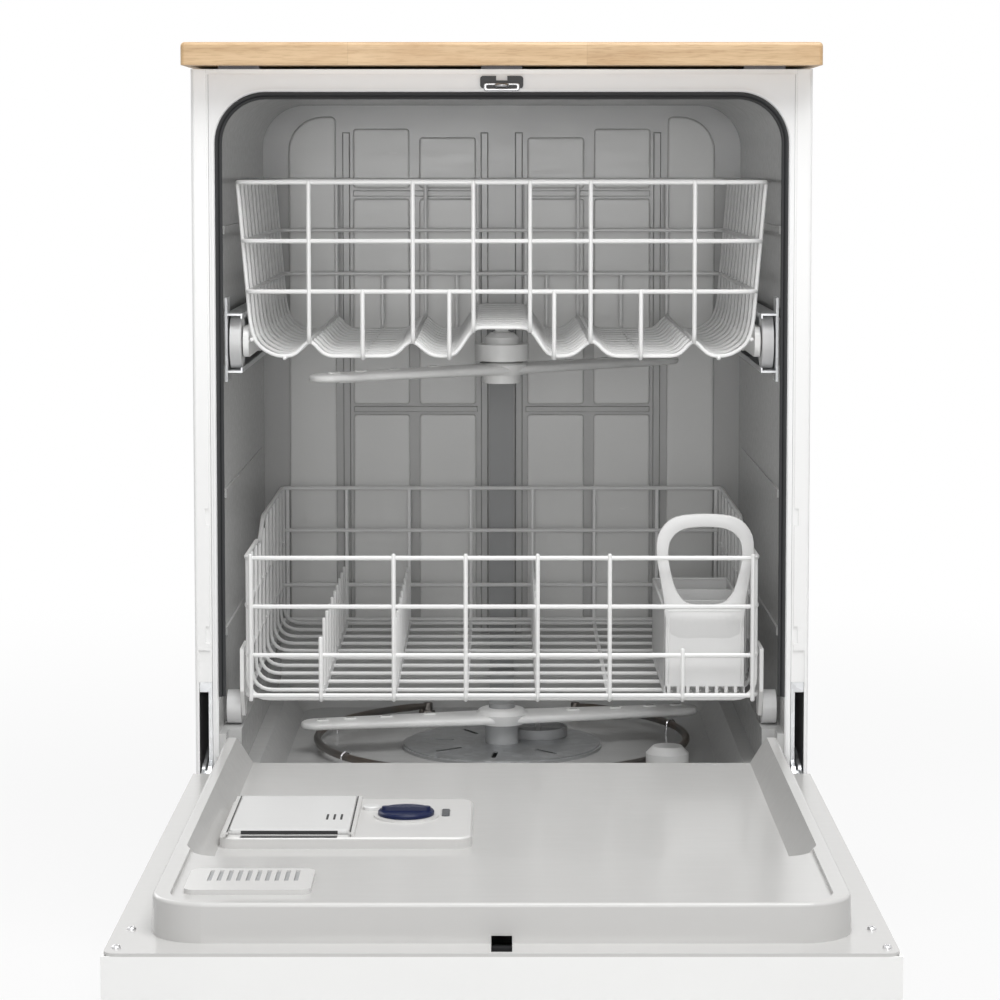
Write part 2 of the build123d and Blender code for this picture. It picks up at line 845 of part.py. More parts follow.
# Upper rack: wire walls, and a floor of waved cross wires on long wires
upper_back = rack_front + upper_depth
upper_lean = atan2(upper_half_top - upper_half_bottom, upper_top - upper_side_low)
wall_run = hypot(upper_half_top - upper_half_bottom, upper_top - upper_side_low)
wave = [
    (-244, 622), (-226, upper_valley + 2), (-206, upper_valley + 2), (-191, upper_peak),
    (-176, upper_valley + 2), (-107, upper_valley + 2), (-90, upper_peak),
    (-70, upper_valley + 2), (-47, upper_valley + 2), (-28, upper_arch),
]
wave_line = wave + [(-x, z) for x, z in reversed(wave)]
with BuildPart() as upper_rack:
    # front and rear walls
    for wall_y in (rack_front + wire, upper_back):
        with BuildSketch(upright(wall_y)):
            for level in (upper_top, 727.0, 677.0):
                share = (level - upper_side_low) / (upper_top - upper_side_low)
                reach = upper_half_bottom + share * (upper_half_top - upper_half_bottom)
                with Locations((0, level - wire / 2)):
                    Rectangle(2 * reach, wire)
            for upright_x in (-191.0, -88.0, -28.0, 28.0, 88.0, 191.0):
                with Locations((upright_x, (upper_top + 622) / 2)):
                    Rectangle(wire, upper_top - 622)
            for upright_x in (-138.0, -52.0, 52.0, 138.0):
                with Locations((upright_x, (677 + upper_valley) / 2)):
                    Rectangle(wire, 677 - upper_valley)
        extrude(amount=wire)
    # leaning side walls on their lower bars
    for wall_side in (-1, 1):
        lean_plane = Plane(
            origin=(wall_side * upper_half_bottom, (rack_front + upper_back) / 2, upper_side_low),
            x_dir=(0, 1, 0),
            z_dir=(wall_side * cos(upper_lean), 0, -sin(upper_lean)),
        )
        rise = 1 if wall_side > 0 else -1
        long = upper_depth - 2 * wire - 2 * seat_gap
        with BuildSketch(lean_plane):
            for share in (0.04, 0.36, 0.66, 1.0):
                with Locations((0, rise * (share * wall_run - wire / 2))):
                    Rectangle(long, wire)
            for place in comb(-long / 2 + wire / 2, long / 2 - wire / 2, side_uprights):
                with Locations((place, rise * wall_run / 2)):
                    Rectangle(wire, wall_run)
        extrude(amount=-wire)
    # floor
    with BuildSketch(Plane.XY.offset(upper_valley)):
        for wire_x in (-216.0, -134.0, -58.0, 58.0, 134.0, 216.0):
            with Locations((wire_x, (rack_front + upper_back) / 2)):
                Rectangle(wire, upper_depth - 2 * wire - 2 * seat_gap)
    extrude(amount=wire)
    for wire_y in floor_ys:
        with BuildSketch(upright(wire_y)):
            with BuildLine():
                Polyline(*wave_line)
            trace(line_width=wire)
        extrude(amount=wire)
upper_rack.part.label = "upper_rack"
export_step(upper_rack.part, "parts/upper_rack.step")

# Runners: moulded bars clipped along the rack, with the roller stubs and a guide shoe
roller_inner = 259.0
front_roller_y = channel_front + 30
rear_roller_y = channel_back - 25
with BuildPart() as upper_runners:
    for bar_side in (-1, 1):
        inner, outer = sorted(
            (bar_side * (upper_half_bottom + 1.9), bar_side * (roller_inner - 1.5))
        )
        with BuildSketch(sideways(inner)):
            with Locations(((front_roller_y + rear_roller_y) / 2, roller_level)):
                RectangleRounded(rear_roller_y - front_roller_y + 34, 30, 12)
        extrude(amount=outer - inner)
        for stub_y in (front_roller_y, rear_roller_y):
            start, end = sorted(
                (bar_side * (roller_inner - 2), bar_side * (roller_inner + roller_width + 0.5))
            )
            rod_x(start, end, stub_y, roller_level, upper_axle_radius)
        start, end = sorted((bar_side * (roller_inner - 2), bar_side * (channel_outer - 4.5)))
        slab(start, end, -40, 120, roller_level - channel_half + 5.6, roller_level + channel_half - 5.6)
upper_runners.part.label = "upper_runners"
export_step(upper_runners.part, "parts/upper_runners.step")


def roller(side_sign, inner_x, centre_y, level, radius, width, axle, hub):
    """Builds a rack roller: a rim, a thin web and a hub bored for its axle stub."""
    start, end = sorted((side_sign * inner_x, side_sign * (inner_x + width)))
    rod_x(start, end, centre_y, level, radius)
    web_start, web_end = sorted((side_sign * (inner_x + width * 0.35), side_sign * (inner_x + width)))
    with BuildSketch(sideways(web_start)) as dish:
        with Locations((centre_y, level)):
            Circle(radius - 3)
            Circle(hub, mode=Mode.SUBTRACT)
    extrude(dish.sketch, amount=web_end - web_start, mode=Mode.SUBTRACT)
    rod_x(start - 1, end + 1, centre_y, level, axle + pin_clearance, Mode.SUBTRACT)


with BuildPart() as upper_roller_front_left:
    roller(-1, roller_inner, front_roller_y, roller_level, roller_radius, roller_width,
           upper_axle_radius, 9)
upper_roller_front_left.part.label = "upper_roller_front_left"
export_step(upper_roller_front_left.part, "parts/upper_roller_front_left.step")

with BuildPart() as upper_roller_front_right:
    roller(1, roller_inner, front_roller_y, roller_level, roller_radius, roller_width,
           upper_axle_radius, 9)
upper_roller_front_right.part.label = "upper_roller_front_right"
export_step(upper_roller_front_right.part, "parts/upper_roller_front_right.step")

with BuildPart() as upper_roller_rear_left:
    roller(-1, roller_inner, rear_roller_y, roller_level, roller_radius, roller_width,
           upper_axle_radius, 9)
upper_roller_rear_left.part.label = "upper_roller_rear_left"
export_step(upper_roller_rear_left.part, "parts/upper_roller_rear_left.step")

with BuildPart() as upper_roller_rear_right:
    roller(1, roller_inner, rear_roller_y, roller_level, roller_radius, roller_width,
           upper_axle_radius, 9)
upper_roller_rear_right.part.label = "upper_roller_rear_right"
export_step(upper_roller_rear_right.part, "parts/upper_roller_rear_right.step")

# Lower rack: upright wire walls, a flat floor and rows of plate tines
lower_back = rack_front + lower_depth
tine_foot = lower_bottom + wire + seat_gap
lower_levels = (362.0, 313.0, 272.0)
with BuildPart() as lower_rack:
    with BuildSketch(upright(rack_front + wire)):
        for level in (lower_front_top, *lower_levels):
            with Locations((0, level - wire / 2)):
                Rectangle(2 * lower_half, wire)
        for upright_x in (-251.0, -108.0, -36.0, 36.0, 108.0, 251.0):
            with Locations((upright_x, (lower_front_top + 3 + lower_bottom) / 2)):
                Rectangle(wire, lower_front_top + 3 - lower_bottom)
        for upright_x, upright_top in ((-181.0, 330.0), (181.0, 318.0)):
            with Locations((upright_x, (upright_top + lower_bottom) / 2)):
                Rectangle(wire, upright_top - lower_bottom)
    extrude(amount=wire)
    with BuildSketch(upright(lower_back)):
        for level in (lower_rear_top, 377.0, lower_levels[1], lower_levels[2]):
            with Locations((0, level - wire / 2)):
                Rectangle(2 * lower_half, wire)
        for upright_x in comb(-lower_half + 8, lower_half - 8, 8):
            with Locations((upright_x, (lower_rear_top + lower_bottom) / 2)):
                Rectangle(wire, lower_rear_top - lower_bottom)
    extrude(amount=wire)
    for wall_side in (-1, 1):
        with BuildSketch(sideways(wall_side * lower_half - (wire if wall_side > 0 else 0))):
            for level in lower_levels:
                with Locations(((rack_front + lower_back) / 2, level - wire / 2)):
                    Rectangle(lower_depth - 2 * wire - 2 * seat_gap, wire)
            for place in comb(rack_front + 2 * wire, lower_back - 2 * wire, 11):
                with Locations((place, (lower_side_dip + lower_bottom) / 2)):
                    Rectangle(wire, lower_side_dip - lower_bottom)
            with BuildLine():
                Polyline(
                    (rack_front + wire + seat_gap, lower_front_top - wire / 2),
                    (rack_front + 145, lower_front_top - wire / 2),
                    (rack_front + 160, lower_side_dip - wire / 2),
                    (rack_front + 180, lower_side_dip - wire / 2),
                    (rack_front + 225, lower_rear_top - wire / 2),
                    (lower_back - wire - seat_gap, lower_rear_top - wire / 2),
                )
            trace(line_width=wire)
        extrude(amount=wire)
    with BuildSketch(Plane.XY.offset(lower_bottom)):
        for wire_x in (-181.0, -108.0, -36.0, 36.0, 108.0, 181.0):
            with Locations((wire_x, (rack_front + lower_back) / 2)):
                Rectangle(wire, lower_depth - 2 * wire - 2 * seat_gap)
        for wire_y in comb(rack_front + 12, lower_back - 12, lower_floor_wires):
            with Locations((0, wire_y)):
                Rectangle(2 * (lower_half - wire - seat_gap), wire)
    extrude(amount=wire)
    for row_x in (-181.0, -108.0, 36.0):
        with BuildSketch(sideways(row_x - wire / 2)):
            with Locations(((rack_front + lower_back) / 2, tine_foot + wire / 2)):
                Rectangle(lower_depth - 60, wire)
            for place in comb(rack_front + 60, lower_back - 60, tine_count):
                with Locations((place, tine_foot + tine_height / 2)):
                    Rectangle(wire, tine_height)
        extrude(amount=wire)
lower_rack.part.label = "lower_rack"
export_step(lower_rack.part, "parts/lower_rack.step")

# Wheel brackets: plates clipped on the rack's sides, each with its axle stub
wheel_inner = lower_half + 4.0
wheel_level = ledge_level + seat_gap + wheel_radius
front_wheel_y = rack_front + wheel_inset
rear_wheel_y = lower_back - wheel_rear_inset
bracket_half = 26.0
with BuildPart() as lower_wheel_brackets:
    for bracket_side in (-1, 1):
        for bracket_y in (front_wheel_y, rear_wheel_y):
            start, end = sorted((bracket_side * lower_half, bracket_side * (wheel_inner - 0.3)))
            with BuildSketch(sideways(start)):
                with BuildLine():
                    Polyline(
                        (bracket_y - 8, wheel_level - 8),
                        (bracket_y + 8, wheel_level - 8),
                        (bracket_y + bracket_half, lower_bottom + 11),
                        (bracket_y + bracket_half, lower_bottom + 54),
                        (bracket_y - bracket_half, lower_bottom + 54),
                        (bracket_y - bracket_half, lower_bottom + 11),
                        close=True,
                    )
                make_face()
            extrude(amount=end - start)
            start, end = sorted(
                (bracket_side * (lower_half + 1), bracket_side * (wheel_inner + wheel_width + 0.5))
            )
            rod_x(start, end, bracket_y, wheel_level, lower_axle_radius)
lower_wheel_brackets.part.label = "lower_wheel_brackets"
export_step(lower_wheel_brackets.part, "parts/lower_wheel_brackets.step")

with BuildPart() as lower_wheel_front_left:
    roller(-1, wheel_inner, front_wheel_y, wheel_level, wheel_radius, wheel_width,
           lower_axle_radius, 7)
lower_wheel_front_left.part.label = "lower_wheel_front_left"
export_step(lower_wheel_front_left.part, "parts/lower_wheel_front_left.step")

with BuildPart() as lower_wheel_front_right:
    roller(1, wheel_inner, front_wheel_y, wheel_level, wheel_radius, wheel_width,
           lower_axle_radius, 7)
lower_wheel_front_right.part.label = "lower_wheel_front_right"
export_step(lower_wheel_front_right.part, "parts/lower_wheel_front_right.step")

with BuildPart() as lower_wheel_rear_left:
    roller(-1, wheel_inner, rear_wheel_y, wheel_level, wheel_radius, wheel_width,
           lower_axle_radius, 7)
lower_wheel_rear_left.part.label = "lower_wheel_rear_left"
export_step(lower_wheel_rear_left.part, "parts/lower_wheel_rear_left.step")

with BuildPart() as lower_wheel_rear_right:
    roller(1, wheel_inner, rear_wheel_y, wheel_level, wheel_radius, wheel_width,
           lower_axle_radius, 7)
lower_wheel_rear_right.part.label = "lower_wheel_rear_right"
export_step(lower_wheel_rear_right.part, "parts/lower_wheel_rear_right.step")

# Silverware basket: a slotted open box whose front wall rises into a broad loop handle
basket_left = basket_right - basket_width
basket_front = rack_front + wire + 12
basket_low = lower_bottom + wire + seat_gap
basket_mid_x = (basket_left + basket_right) / 2
basket_mid_y = basket_front + basket_length / 2
handle_low = basket_low + basket_height
with BuildPart() as silverware_basket:
    with BuildSketch(Plane.XY.offset(basket_low)):
        with Locations((basket_mid_x, basket_mid_y)):
            RectangleRounded(basket_width, basket_length, 8)
    extrude(amount=basket_height)
    with BuildSketch(Plane.XY.offset(basket_low + basket_wall)):
        with Locations((basket_mid_x, basket_mid_y)):
            with GridLocations(0, (basket_length - basket_wall) / 3, 1, 3):
                RectangleRounded(
                    basket_width - 2 * basket_wall,
                    (basket_length - basket_wall) / 3 - basket_wall,
                    5,
                )
    extrude(amount=basket_height, mode=Mode.SUBTRACT)
    with BuildSketch(Plane.XY.offset(basket_low - 1)):
        with Locations((basket_mid_x, basket_mid_y)):
            with GridLocations(22, (basket_length - basket_wall) / 3, 3, 3):
                RectangleRounded(9, 50, 3)
    extrude(amount=basket_wall + 2, mode=Mode.SUBTRACT)
    with BuildSketch(upright(basket_front + handle_bar)):
        with BuildLine():
            FilletPolyline(
                (basket_mid_x - handle_foot_half, handle_low - 30),
                (basket_mid_x - handle_foot_half, handle_low + 7),
                (basket_mid_x - handle_half_width, handle_low + 60),
                (basket_mid_x - handle_half_width + 4, handle_low + handle_height),
                (basket_mid_x + handle_half_width - 4, handle_low + handle_height),
                (basket_mid_x + handle_half_width, handle_low + 60),
                (basket_mid_x + handle_foot_half, handle_low + 7),
                (basket_mid_x + handle_foot_half, handle_low - 30),
                radius=9,
                close=True,
            )
        make_face()
    extrude(amount=handle_bar)
    with BuildSketch(upright(basket_front + handle_bar + 1)):
        with BuildLine():
            FilletPolyline(
                (basket_mid_x - 26, handle_low + 6),
                (basket_mid_x - 36.5, handle_low + 48),
                (basket_mid_x - 36.5, handle_low + 82),
                (basket_mid_x + 36.5, handle_low + 82),
                (basket_mid_x + 36.5, handle_low + 48),
                (basket_mid_x + 26, handle_low + 6),
                radius=10,
                close=True,
            )
        make_face()
    extrude(amount=handle_bar + 2, mode=Mode.SUBTRACT)
silverware_basket.part.label = "silverware_basket"
export_step(silverware_basket.part, "parts/silverware_basket.step")

# Door skin: a folded pan under the liner, with its end fold at the hinge
door_half = door_width / 2
skin_low = hinge_level - skin_drop
flange_low = flange_top - liner_wall
with BuildPart() as door_skin:
    with BuildSketch(upright(hinge_y + door_tail)):
        with Locations((0, (skin_low + flange_low) / 2)):
            Rectangle(door_width, flange_low - skin_low)
    extrude(amount=door_tail + console_start)
    fillet(door_skin.edges().filter_by(Axis.Y).group_by(Axis.Z)[0], 5)
    with BuildSketch(upright(hinge_y + door_tail - sheet)):
        with Locations((0, (skin_low + sheet + flange_low + 5) / 2)):
            Rectangle(door_width - 2 * sheet, flange_low + 5 - skin_low - sheet)
    extrude(amount=door_tail + console_start, mode=Mode.SUBTRACT)
    for relief_side in (-1, 1):
        start, end = sorted((relief_side * relief_half_width, relief_side * (door_half + 1)))
        slab(start, end, hinge_y - relief_reach, hinge_y + door_tail + 1, hinge_level - 14,
             flange_low + 1, Mode.SUBTRACT)
door_skin.part.label = "door_skin"
export_step(door_skin.part, "parts/door_skin.step")

# Door liner: a flat flange with a raised hollow island, sunk in the middle to a field that drains
# over the hinge end, with a wheel lane along each side and a shallow plateau at the latch end
island_top = flange_top + island_rise
field_low = flange_top + field_rise
plateau_low = island_top - plateau_drop
under_flange = flange_low - 1


def door_outline(level, half_width, start, end, corner):
    """Draws a level outline on the open door: a rectangle with round corners at its latch end."""
    with BuildSketch(Plane.XY.offset(level)) as outline:
        with Locations((0, hinge_y - (start + end) / 2)):
            Rectangle(2 * half_width, end - start)
        fillet(outline.vertices().group_by(Axis.Y)[0], corner)
    return outline.sketch


with BuildPart() as door_liner:
    island = door_outline(flange_low, island_half_width, island_start, island_end, island_corner)
    extrude(island, amount=liner_wall + island_rise, taper=1.5)
    fillet(door_liner.faces().sort_by(Axis.Z)[-1].edges(), 3)
    with BuildSketch(Plane.XY.offset(flange_low)):
        with Locations((0, hinge_y - (relief_reach + door_reach) / 2)):
            Rectangle(door_width, door_reach - relief_reach)
        with Locations((0, hinge_y - (relief_reach - door_tail) / 2)):
            Rectangle(2 * relief_half_width, relief_reach + door_tail)
    extrude(amount=liner_wall)
    # the sunk field, open at the hinge end, with sloping sides
    field_room = door_outline(field_low, field_half_width, -30, field_end, 20)
    field_mouth = door_outline(
        island_top + 0.1, field_half_width + field_slope, -30, field_end + field_slope, 30
    )
    loft([field_room, field_mouth], mode=Mode.SUBTRACT)
    plateau = door_outline(plateau_low, plateau_half_width, field_end, plateau_end, 30)
    extrude(plateau, amount=plateau_drop + 1, mode=Mode.SUBTRACT)
    # the island is open below: under the field, under each wheel lane and under the plateau
    slab(-field_half_width + 2, field_half_width - 2, hinge_y - field_end + 6, hinge_y - 16,
         under_flange, field_low - liner_wall, Mode.SUBTRACT)
    for lane_side in (-1, 1):
        with BuildSketch(upright(hinge_y - 7)):
            with BuildLine():
                Polyline(
                    (lane_side * (field_half_width + 2), under_flange),
                    (lane_side * (island_half_width - liner_wall), under_flange),
                    (lane_side * (island_half_width - liner_wall - 1), island_top - liner_wall),
                    (lane_side * (island_half_width - lane_width + 2), island_top - liner_wall),
                    (lane_side * (field_half_width + 2), field_low - liner_wall),
                    close=True,
                )
            make_face()
        extrude(amount=field_end, mode=Mode.SUBTRACT)
    plateau_room = door_outline(
        under_flange, island_half_width - liner_wall - 1, field_end + field_slope + liner_wall,
        island_end - liner_wall - 1, island_corner - 4,
    )
    extrude(plateau_room, amount=plateau_low - liner_wall - under_flange, mode=Mode.SUBTRACT)
    fillet(door_liner.edges().filter_by(Axis.Z).group_by(Axis.Y)[0], 10)
    # latch slot in the flange, with its notch in the island's end wall
    slab(-slot_width / 2, slot_width / 2, hinge_y - slot_end, hinge_y - slot_start, under_flange,
         flange_top + 1, Mode.SUBTRACT)
    slab(-slot_width / 2, slot_width / 2, hinge_y - slot_start - 1, hinge_y - island_end + 5,
         under_flange, flange_top + 6, Mode.SUBTRACT)
door_liner.part.label = "door_liner"
export_step(door_liner.part, "parts/door_liner.step")

# Latch housing: the box behind the slot, with its hook bar
with BuildPart() as latch_housing:
    slab(-slot_width / 2 - 3, slot_width / 2 + 3, hinge_y - slot_end - 2, hinge_y - slot_start + 8,
         flange_low - slot_depth - 3, flange_low)
    slab(-slot_width / 2, slot_width / 2, hinge_y - slot_end, hinge_y - slot_start,
         flange_low - slot_depth, flange_low + 1, Mode.SUBTRACT)
latch_housing.part.label = "latch_housing"
export_step(latch_housing.part, "parts/latch_housing.step")

# Console: a hollow housing across the door's end, with a handle pocket and three key holes
console_low = hinge_level - console_drop
console_y = hinge_y - console_start
tip_y = hinge_y - door_reach
pocket_half = 66.0
pocket_start = 614.0
pocket_end = 668.0
pocket_depth = 14.0
key_xs = (130.0, 182.0, 234.0)
key_width = 34.0
key_length = 14.0
key_y = hinge_y - 640.0
lever_axis_y = hinge_y - 662.0
lever_axis_z = console_low + 5.0
lever_pin = 2.5
with BuildPart() as console:
    with BuildSketch(sideways(-half)):
        with BuildLine():
            Polyline(
                (console_y, console_low + 14),
                (console_y - 14, console_low),
                (tip_y + 16, console_low),
                (tip_y, console_low + 18),
                (tip_y, flange_low),
                (console_y, flange_low),
                close=True,
            )
        make_face()
    extrude(amount=cabinet_width)
    with BuildSketch(sideways(-half + console_wall)):
        with BuildLine():
            Polyline(
                (console_y - console_wall, console_low + 14 + console_wall),
                (console_y - 14, console_low + console_wall),
                (tip_y + 16, console_low + console_wall),
                (tip_y + console_wall, console_low + 18 + console_wall),
                (tip_y + console_wall, flange_low + 1),
                (console_y - console_wall, flange_low + 1),
                close=True,
            )
        make_face()
    extrude(amount=cabinet_width - 2 * console_wall, mode=Mode.SUBTRACT)
    slab(-pocket_half - console_wall, pocket_half + console_wall, hinge_y - pocket_end - console_wall,
         hinge_y - pocket_start + console_wall, console_low, console_low + pocket_depth + console_wall)
    slab(-pocket_half, pocket_half, hinge_y - pocket_end, hinge_y - pocket_start, console_low - 1,
         console_low + pocket_depth, Mode.SUBTRACT)
    rod_x(-pocket_half - 5, pocket_half + 5, lever_axis_y, lever_axis_z, lever_pin + pin_clearance,
          Mode.SUBTRACT)
    with BuildSketch(Plane.XY.offset(console_low - 1)):
        for key_x in key_xs:
            with Locations((key_x, key_y)):
                Rectangle(key_width + 2 * seat_gap, key_length + 2 * seat_gap)
    extrude(amount=console_wall + 2, mode=Mode.SUBTRACT)
    # the skin's end tucks into the console's open side
    slab(-door_half - seat_gap, door_half + seat_gap, console_y - console_wall - 1, console_y + 1,
         skin_low - seat_gap, flange_low + 1, Mode.SUBTRACT)
console.part.label = "console"
export_step(console.part, "parts/console.step")

# Latch handle: a pull plate in the console's pocket, on two pins
with BuildPart() as latch_handle:
    slab(-pocket_half + 3, pocket_half - 3, hinge_y - pocket_end + 3, hinge_y - pocket_start - 3,
         console_low + 1, console_low + 5)
    slab(-pocket_half + 3, pocket_half - 3, hinge_y - pocket_start - 8, hinge_y - pocket_start - 3,
         console_low + 1, console_low + 10)
    rod_x(-pocket_half - 2.2, pocket_half + 2.2, lever_axis_y, lever_axis_z, lever_pin)
latch_handle.part.label = "latch_handle"
export_step(latch_handle.part, "parts/latch_handle.step")


def key_cap(centre_x):
    """Builds a push key: a rounded cap through the console face and a retaining flange inside."""
    with BuildSketch(Plane.XY.offset(console_low - 2.5)) as cap:
        with Locations((centre_x, key_y)):
            RectangleRounded(key_width, key_length, 3)
    extrude(cap.sketch, amount=console_wall + 2.5 + 3)
    with BuildSketch(Plane.XY.offset(console_low + console_wall + seat_gap)) as flange:
        with Locations((centre_x, key_y)):
            Rectangle(key_width + 5, key_length + 5)
    extrude(flange.sketch, amount=2)


with BuildPart() as console_key_1:
    key_cap(key_xs[0])
console_key_1.part.label = "console_key_1"
export_step(console_key_1.part, "parts/console_key_1.step")

with BuildPart() as console_key_2:
    key_cap(key_xs[1])
console_key_2.part.label = "console_key_2"
export_step(console_key_2.part, "parts/console_key_2.step")

with BuildPart() as console_key_3:
    key_cap(key_xs[2])
console_key_3.part.label = "console_key_3"
export_step(console_key_3.part, "parts/console_key_3.step")

# Hinge arms: flat steel levers inside the door's sides, each with an eye and a tail for its spring
tail_rise = 14.0
with BuildPart() as hinge_arms:
    for arm_side in (-1, 1):
        start, end = sorted((arm_side * arm_inner, arm_side * (arm_inner + arm_thickness)))
        with BuildSketch(sideways(start)):
            with BuildLine():
                Polyline(
                    (hinge_y - arm_length, flange_low),
                    (hinge_y - relief_reach, flange_low),
                    (hinge_y, hinge_level + 8),
                    (hinge_y + arm_tail, hinge_level + tail_rise + 5),
                    (hinge_y + arm_tail + 6, hinge_level + tail_rise),
                    (hinge_y + arm_tail, hinge_level + tail_rise - 7),
                    (hinge_y + 2, hinge_level - 9),
                    (hinge_y - 12, hinge_level - 10),
                    (hinge_y - arm_length, hinge_level - 10),
                    close=True,
                )
            make_face()
            with Locations((hinge_y, hinge_level)):
                Circle(arm_eye_radius)
                Circle(hinge_pin_radius + pin_clearance, mode=Mode.SUBTRACT)
            with Locations((hinge_y + arm_tail - 2, hinge_level + tail_rise - 1)):
                Circle(2.2, mode=Mode.SUBTRACT)
        extrude(amount=end - start)
hinge_arms.part.label = "hinge_arms"
export_step(hinge_arms.part, "parts/hinge_arms.step")

# Dispenser body: a tray on the liner's field with a detergent cup, a rinse-aid neck and a key hole
dispenser_top = field_low + dispenser_rise
dispenser_mid_x = (dispenser_left + dispenser_right) / 2
dispenser_mid_y = hinge_y - (dispenser_start + dispenser_end) / 2
cup_x = -184.0
cup_y = dispenser_mid_y + 2.0
cap_x = -85.0
cap_y = dispenser_mid_y + 5.0
release_x = -117.0
release_y = dispenser_mid_y + 35.0
cup_depth = 7.0
neck_bore = 14.0
release_radius = 8.0
lid_tongue = 2.0
rail_start = cup_y + lid_length / 2
rail_end = dispenser_mid_y - (dispenser_end - dispenser_start) / 2 + 2
window_x = -50.0
window_y = dispenser_mid_y + 19.5
with BuildPart() as dispenser_body:
    with BuildSketch(Plane.XY.offset(field_low)):
        with Locations((dispenser_mid_x, dispenser_mid_y)):
            RectangleRounded(
                dispenser_right - dispenser_left, dispenser_end - dispenser_start, 14
            )
    extrude(amount=dispenser_rise)
    chamfer(dispenser_body.faces().sort_by(Axis.Z)[-1].edges(), 1.5)
    with BuildSketch(Plane.XY.offset(dispenser_top)):
        with Locations((cup_x, cup_y)):
            RectangleRounded(lid_width - 14, lid_length - 18, 10)
    extrude(amount=-cup_depth, mode=Mode.SUBTRACT)
    disc(cap_x, cap_y, dispenser_top, dispenser_top + 2, cap_radius + 4)
    disc(cap_x, cap_y, field_low + 1.5, dispenser_top + 3, neck_bore, Mode.SUBTRACT)
    disc(release_x, release_y, field_low + 1, dispenser_top + 1, release_radius + seat_gap,
         Mode.SUBTRACT)
    # the finger gap ahead of the lid, and the level window beside the cap
    slab(cup_x - 42, cup_x + 42, rail_end - 1, rail_start - lid_length - 3, dispenser_top - 4,
         dispenser_top + 5, Mode.SUBTRACT)
    with BuildSketch(Plane.XY.offset(dispenser_top)):
        with Locations((window_x, window_y)):
            SlotOverall(31, 8, rotation=90)
    extrude(amount=-1.5, mode=Mode.SUBTRACT)
    # the two guides that the lid slides between, each with a lip over the lid's tongue
    for guide_side in (-1, 1):
        start, end = sorted(
            (
                cup_x + guide_side * (lid_width / 2 + lid_tongue + seat_gap),
                cup_x + guide_side * (lid_width / 2 + lid_tongue + 3),
            )
        )
        slab(start, end, rail_end, rail_start, dispenser_top, dispenser_top + 4)
        start, end = sorted(
            (
                cup_x + guide_side * (lid_width / 2 + seat_gap),
                cup_x + guide_side * (lid_width / 2 + lid_tongue + 1),
            )
        )
        slab(start, end, rail_end, rail_start, dispenser_top + 2.2, dispenser_top + 4)
dispenser_body.part.label = "dispenser_body"
export_step(dispenser_body.part, "parts/dispenser_body.step")

# Detergent lid: a flat plate with side tongues, a finger slot and three short grip slots
with BuildPart() as dispenser_lid:
    with BuildSketch(Plane.XY.offset(dispenser_top + seat_gap)):
        with Locations((cup_x, cup_y)):
            Rectangle(lid_width + 2 * lid_tongue, lid_length - 1)
    extrude(amount=1.5)
    with BuildSketch(Plane.XY.offset(dispenser_top + seat_gap)):
        with Locations((cup_x, cup_y)):
            RectangleRounded(lid_width, lid_length, 3)
    extrude(amount=lid_thickness)
    with BuildSketch(Plane.XY.offset(dispenser_top + seat_gap + lid_thickness)):
        with Locations((cup_x, cup_y - lid_length / 2 + 10)):
            SlotOverall(lid_width - 18, 8)
        with Locations((cup_x + 31, cup_y + 4.5)):
            with GridLocations(0, 10, 1, 3):
                Rectangle(14, 4)
    extrude(amount=-2.2, mode=Mode.SUBTRACT)
dispenser_lid.part.label = "dispenser_lid"
export_step(dispenser_lid.part, "parts/dispenser_lid.step")

# Release button beside the lid
with BuildPart() as release_button:
    disc(release_x, release_y, field_low + 3.6, dispenser_top + 3.5, release_radius)
    chamfer(release_button.faces().sort_by(Axis.Z)[-1].edges(), 1)
release_button.part.label = "release_button"
export_step(release_button.part, "parts/release_button.step")

# Rinse-aid cap: a round turning cap with a grip ridge and a stub in the filler neck
with BuildPart() as rinse_aid_cap:
    disc(cap_x, cap_y, dispenser_top + 2 + seat_gap, dispenser_top + 6, cap_radius)
    chamfer(rinse_aid_cap.faces().sort_by(Axis.Z)[-1].edges(), 1.2)
    disc(cap_x, cap_y, field_low + 1.8, dispenser_top + 3, neck_bore - 0.1)
    with BuildSketch(Plane.XY.offset(dispenser_top + 6)):
        with Locations((cap_x, cap_y)):
            SlotOverall(2 * cap_radius - 6, 8)
    extrude(amount=3, taper=8)
rinse_aid_cap.part.label = "rinse_aid_cap"
export_step(rinse_aid_cap.part, "parts/rinse_aid_cap.step")

# Vent grille on the plateau, flush with the wheel lanes
vent_x = -198.5
vent_y = hinge_y - 584.5
vent_slot_ahead = 11.5
with BuildPart() as vent_grille:
    with BuildSketch(Plane.XY.offset(plateau_low)):
        with Locations((vent_x, vent_y)):
            RectangleRounded(vent_width, vent_length, 8)
    extrude(amount=plateau_drop)
    with BuildSketch(Plane.XY.offset(island_top)):
        with Locations((vent_x + 2, vent_y + vent_slot_ahead)):
            with GridLocations(vent_slot_pitch, 0, vent_slots, 1):
                Rectangle(3.4, vent_slot_length)
    extrude(amount=-2.8, mode=Mode.SUBTRACT)
vent_grille.part.label = "vent_grille"
export_step(vent_grille.part, "parts/vent_grille.step")

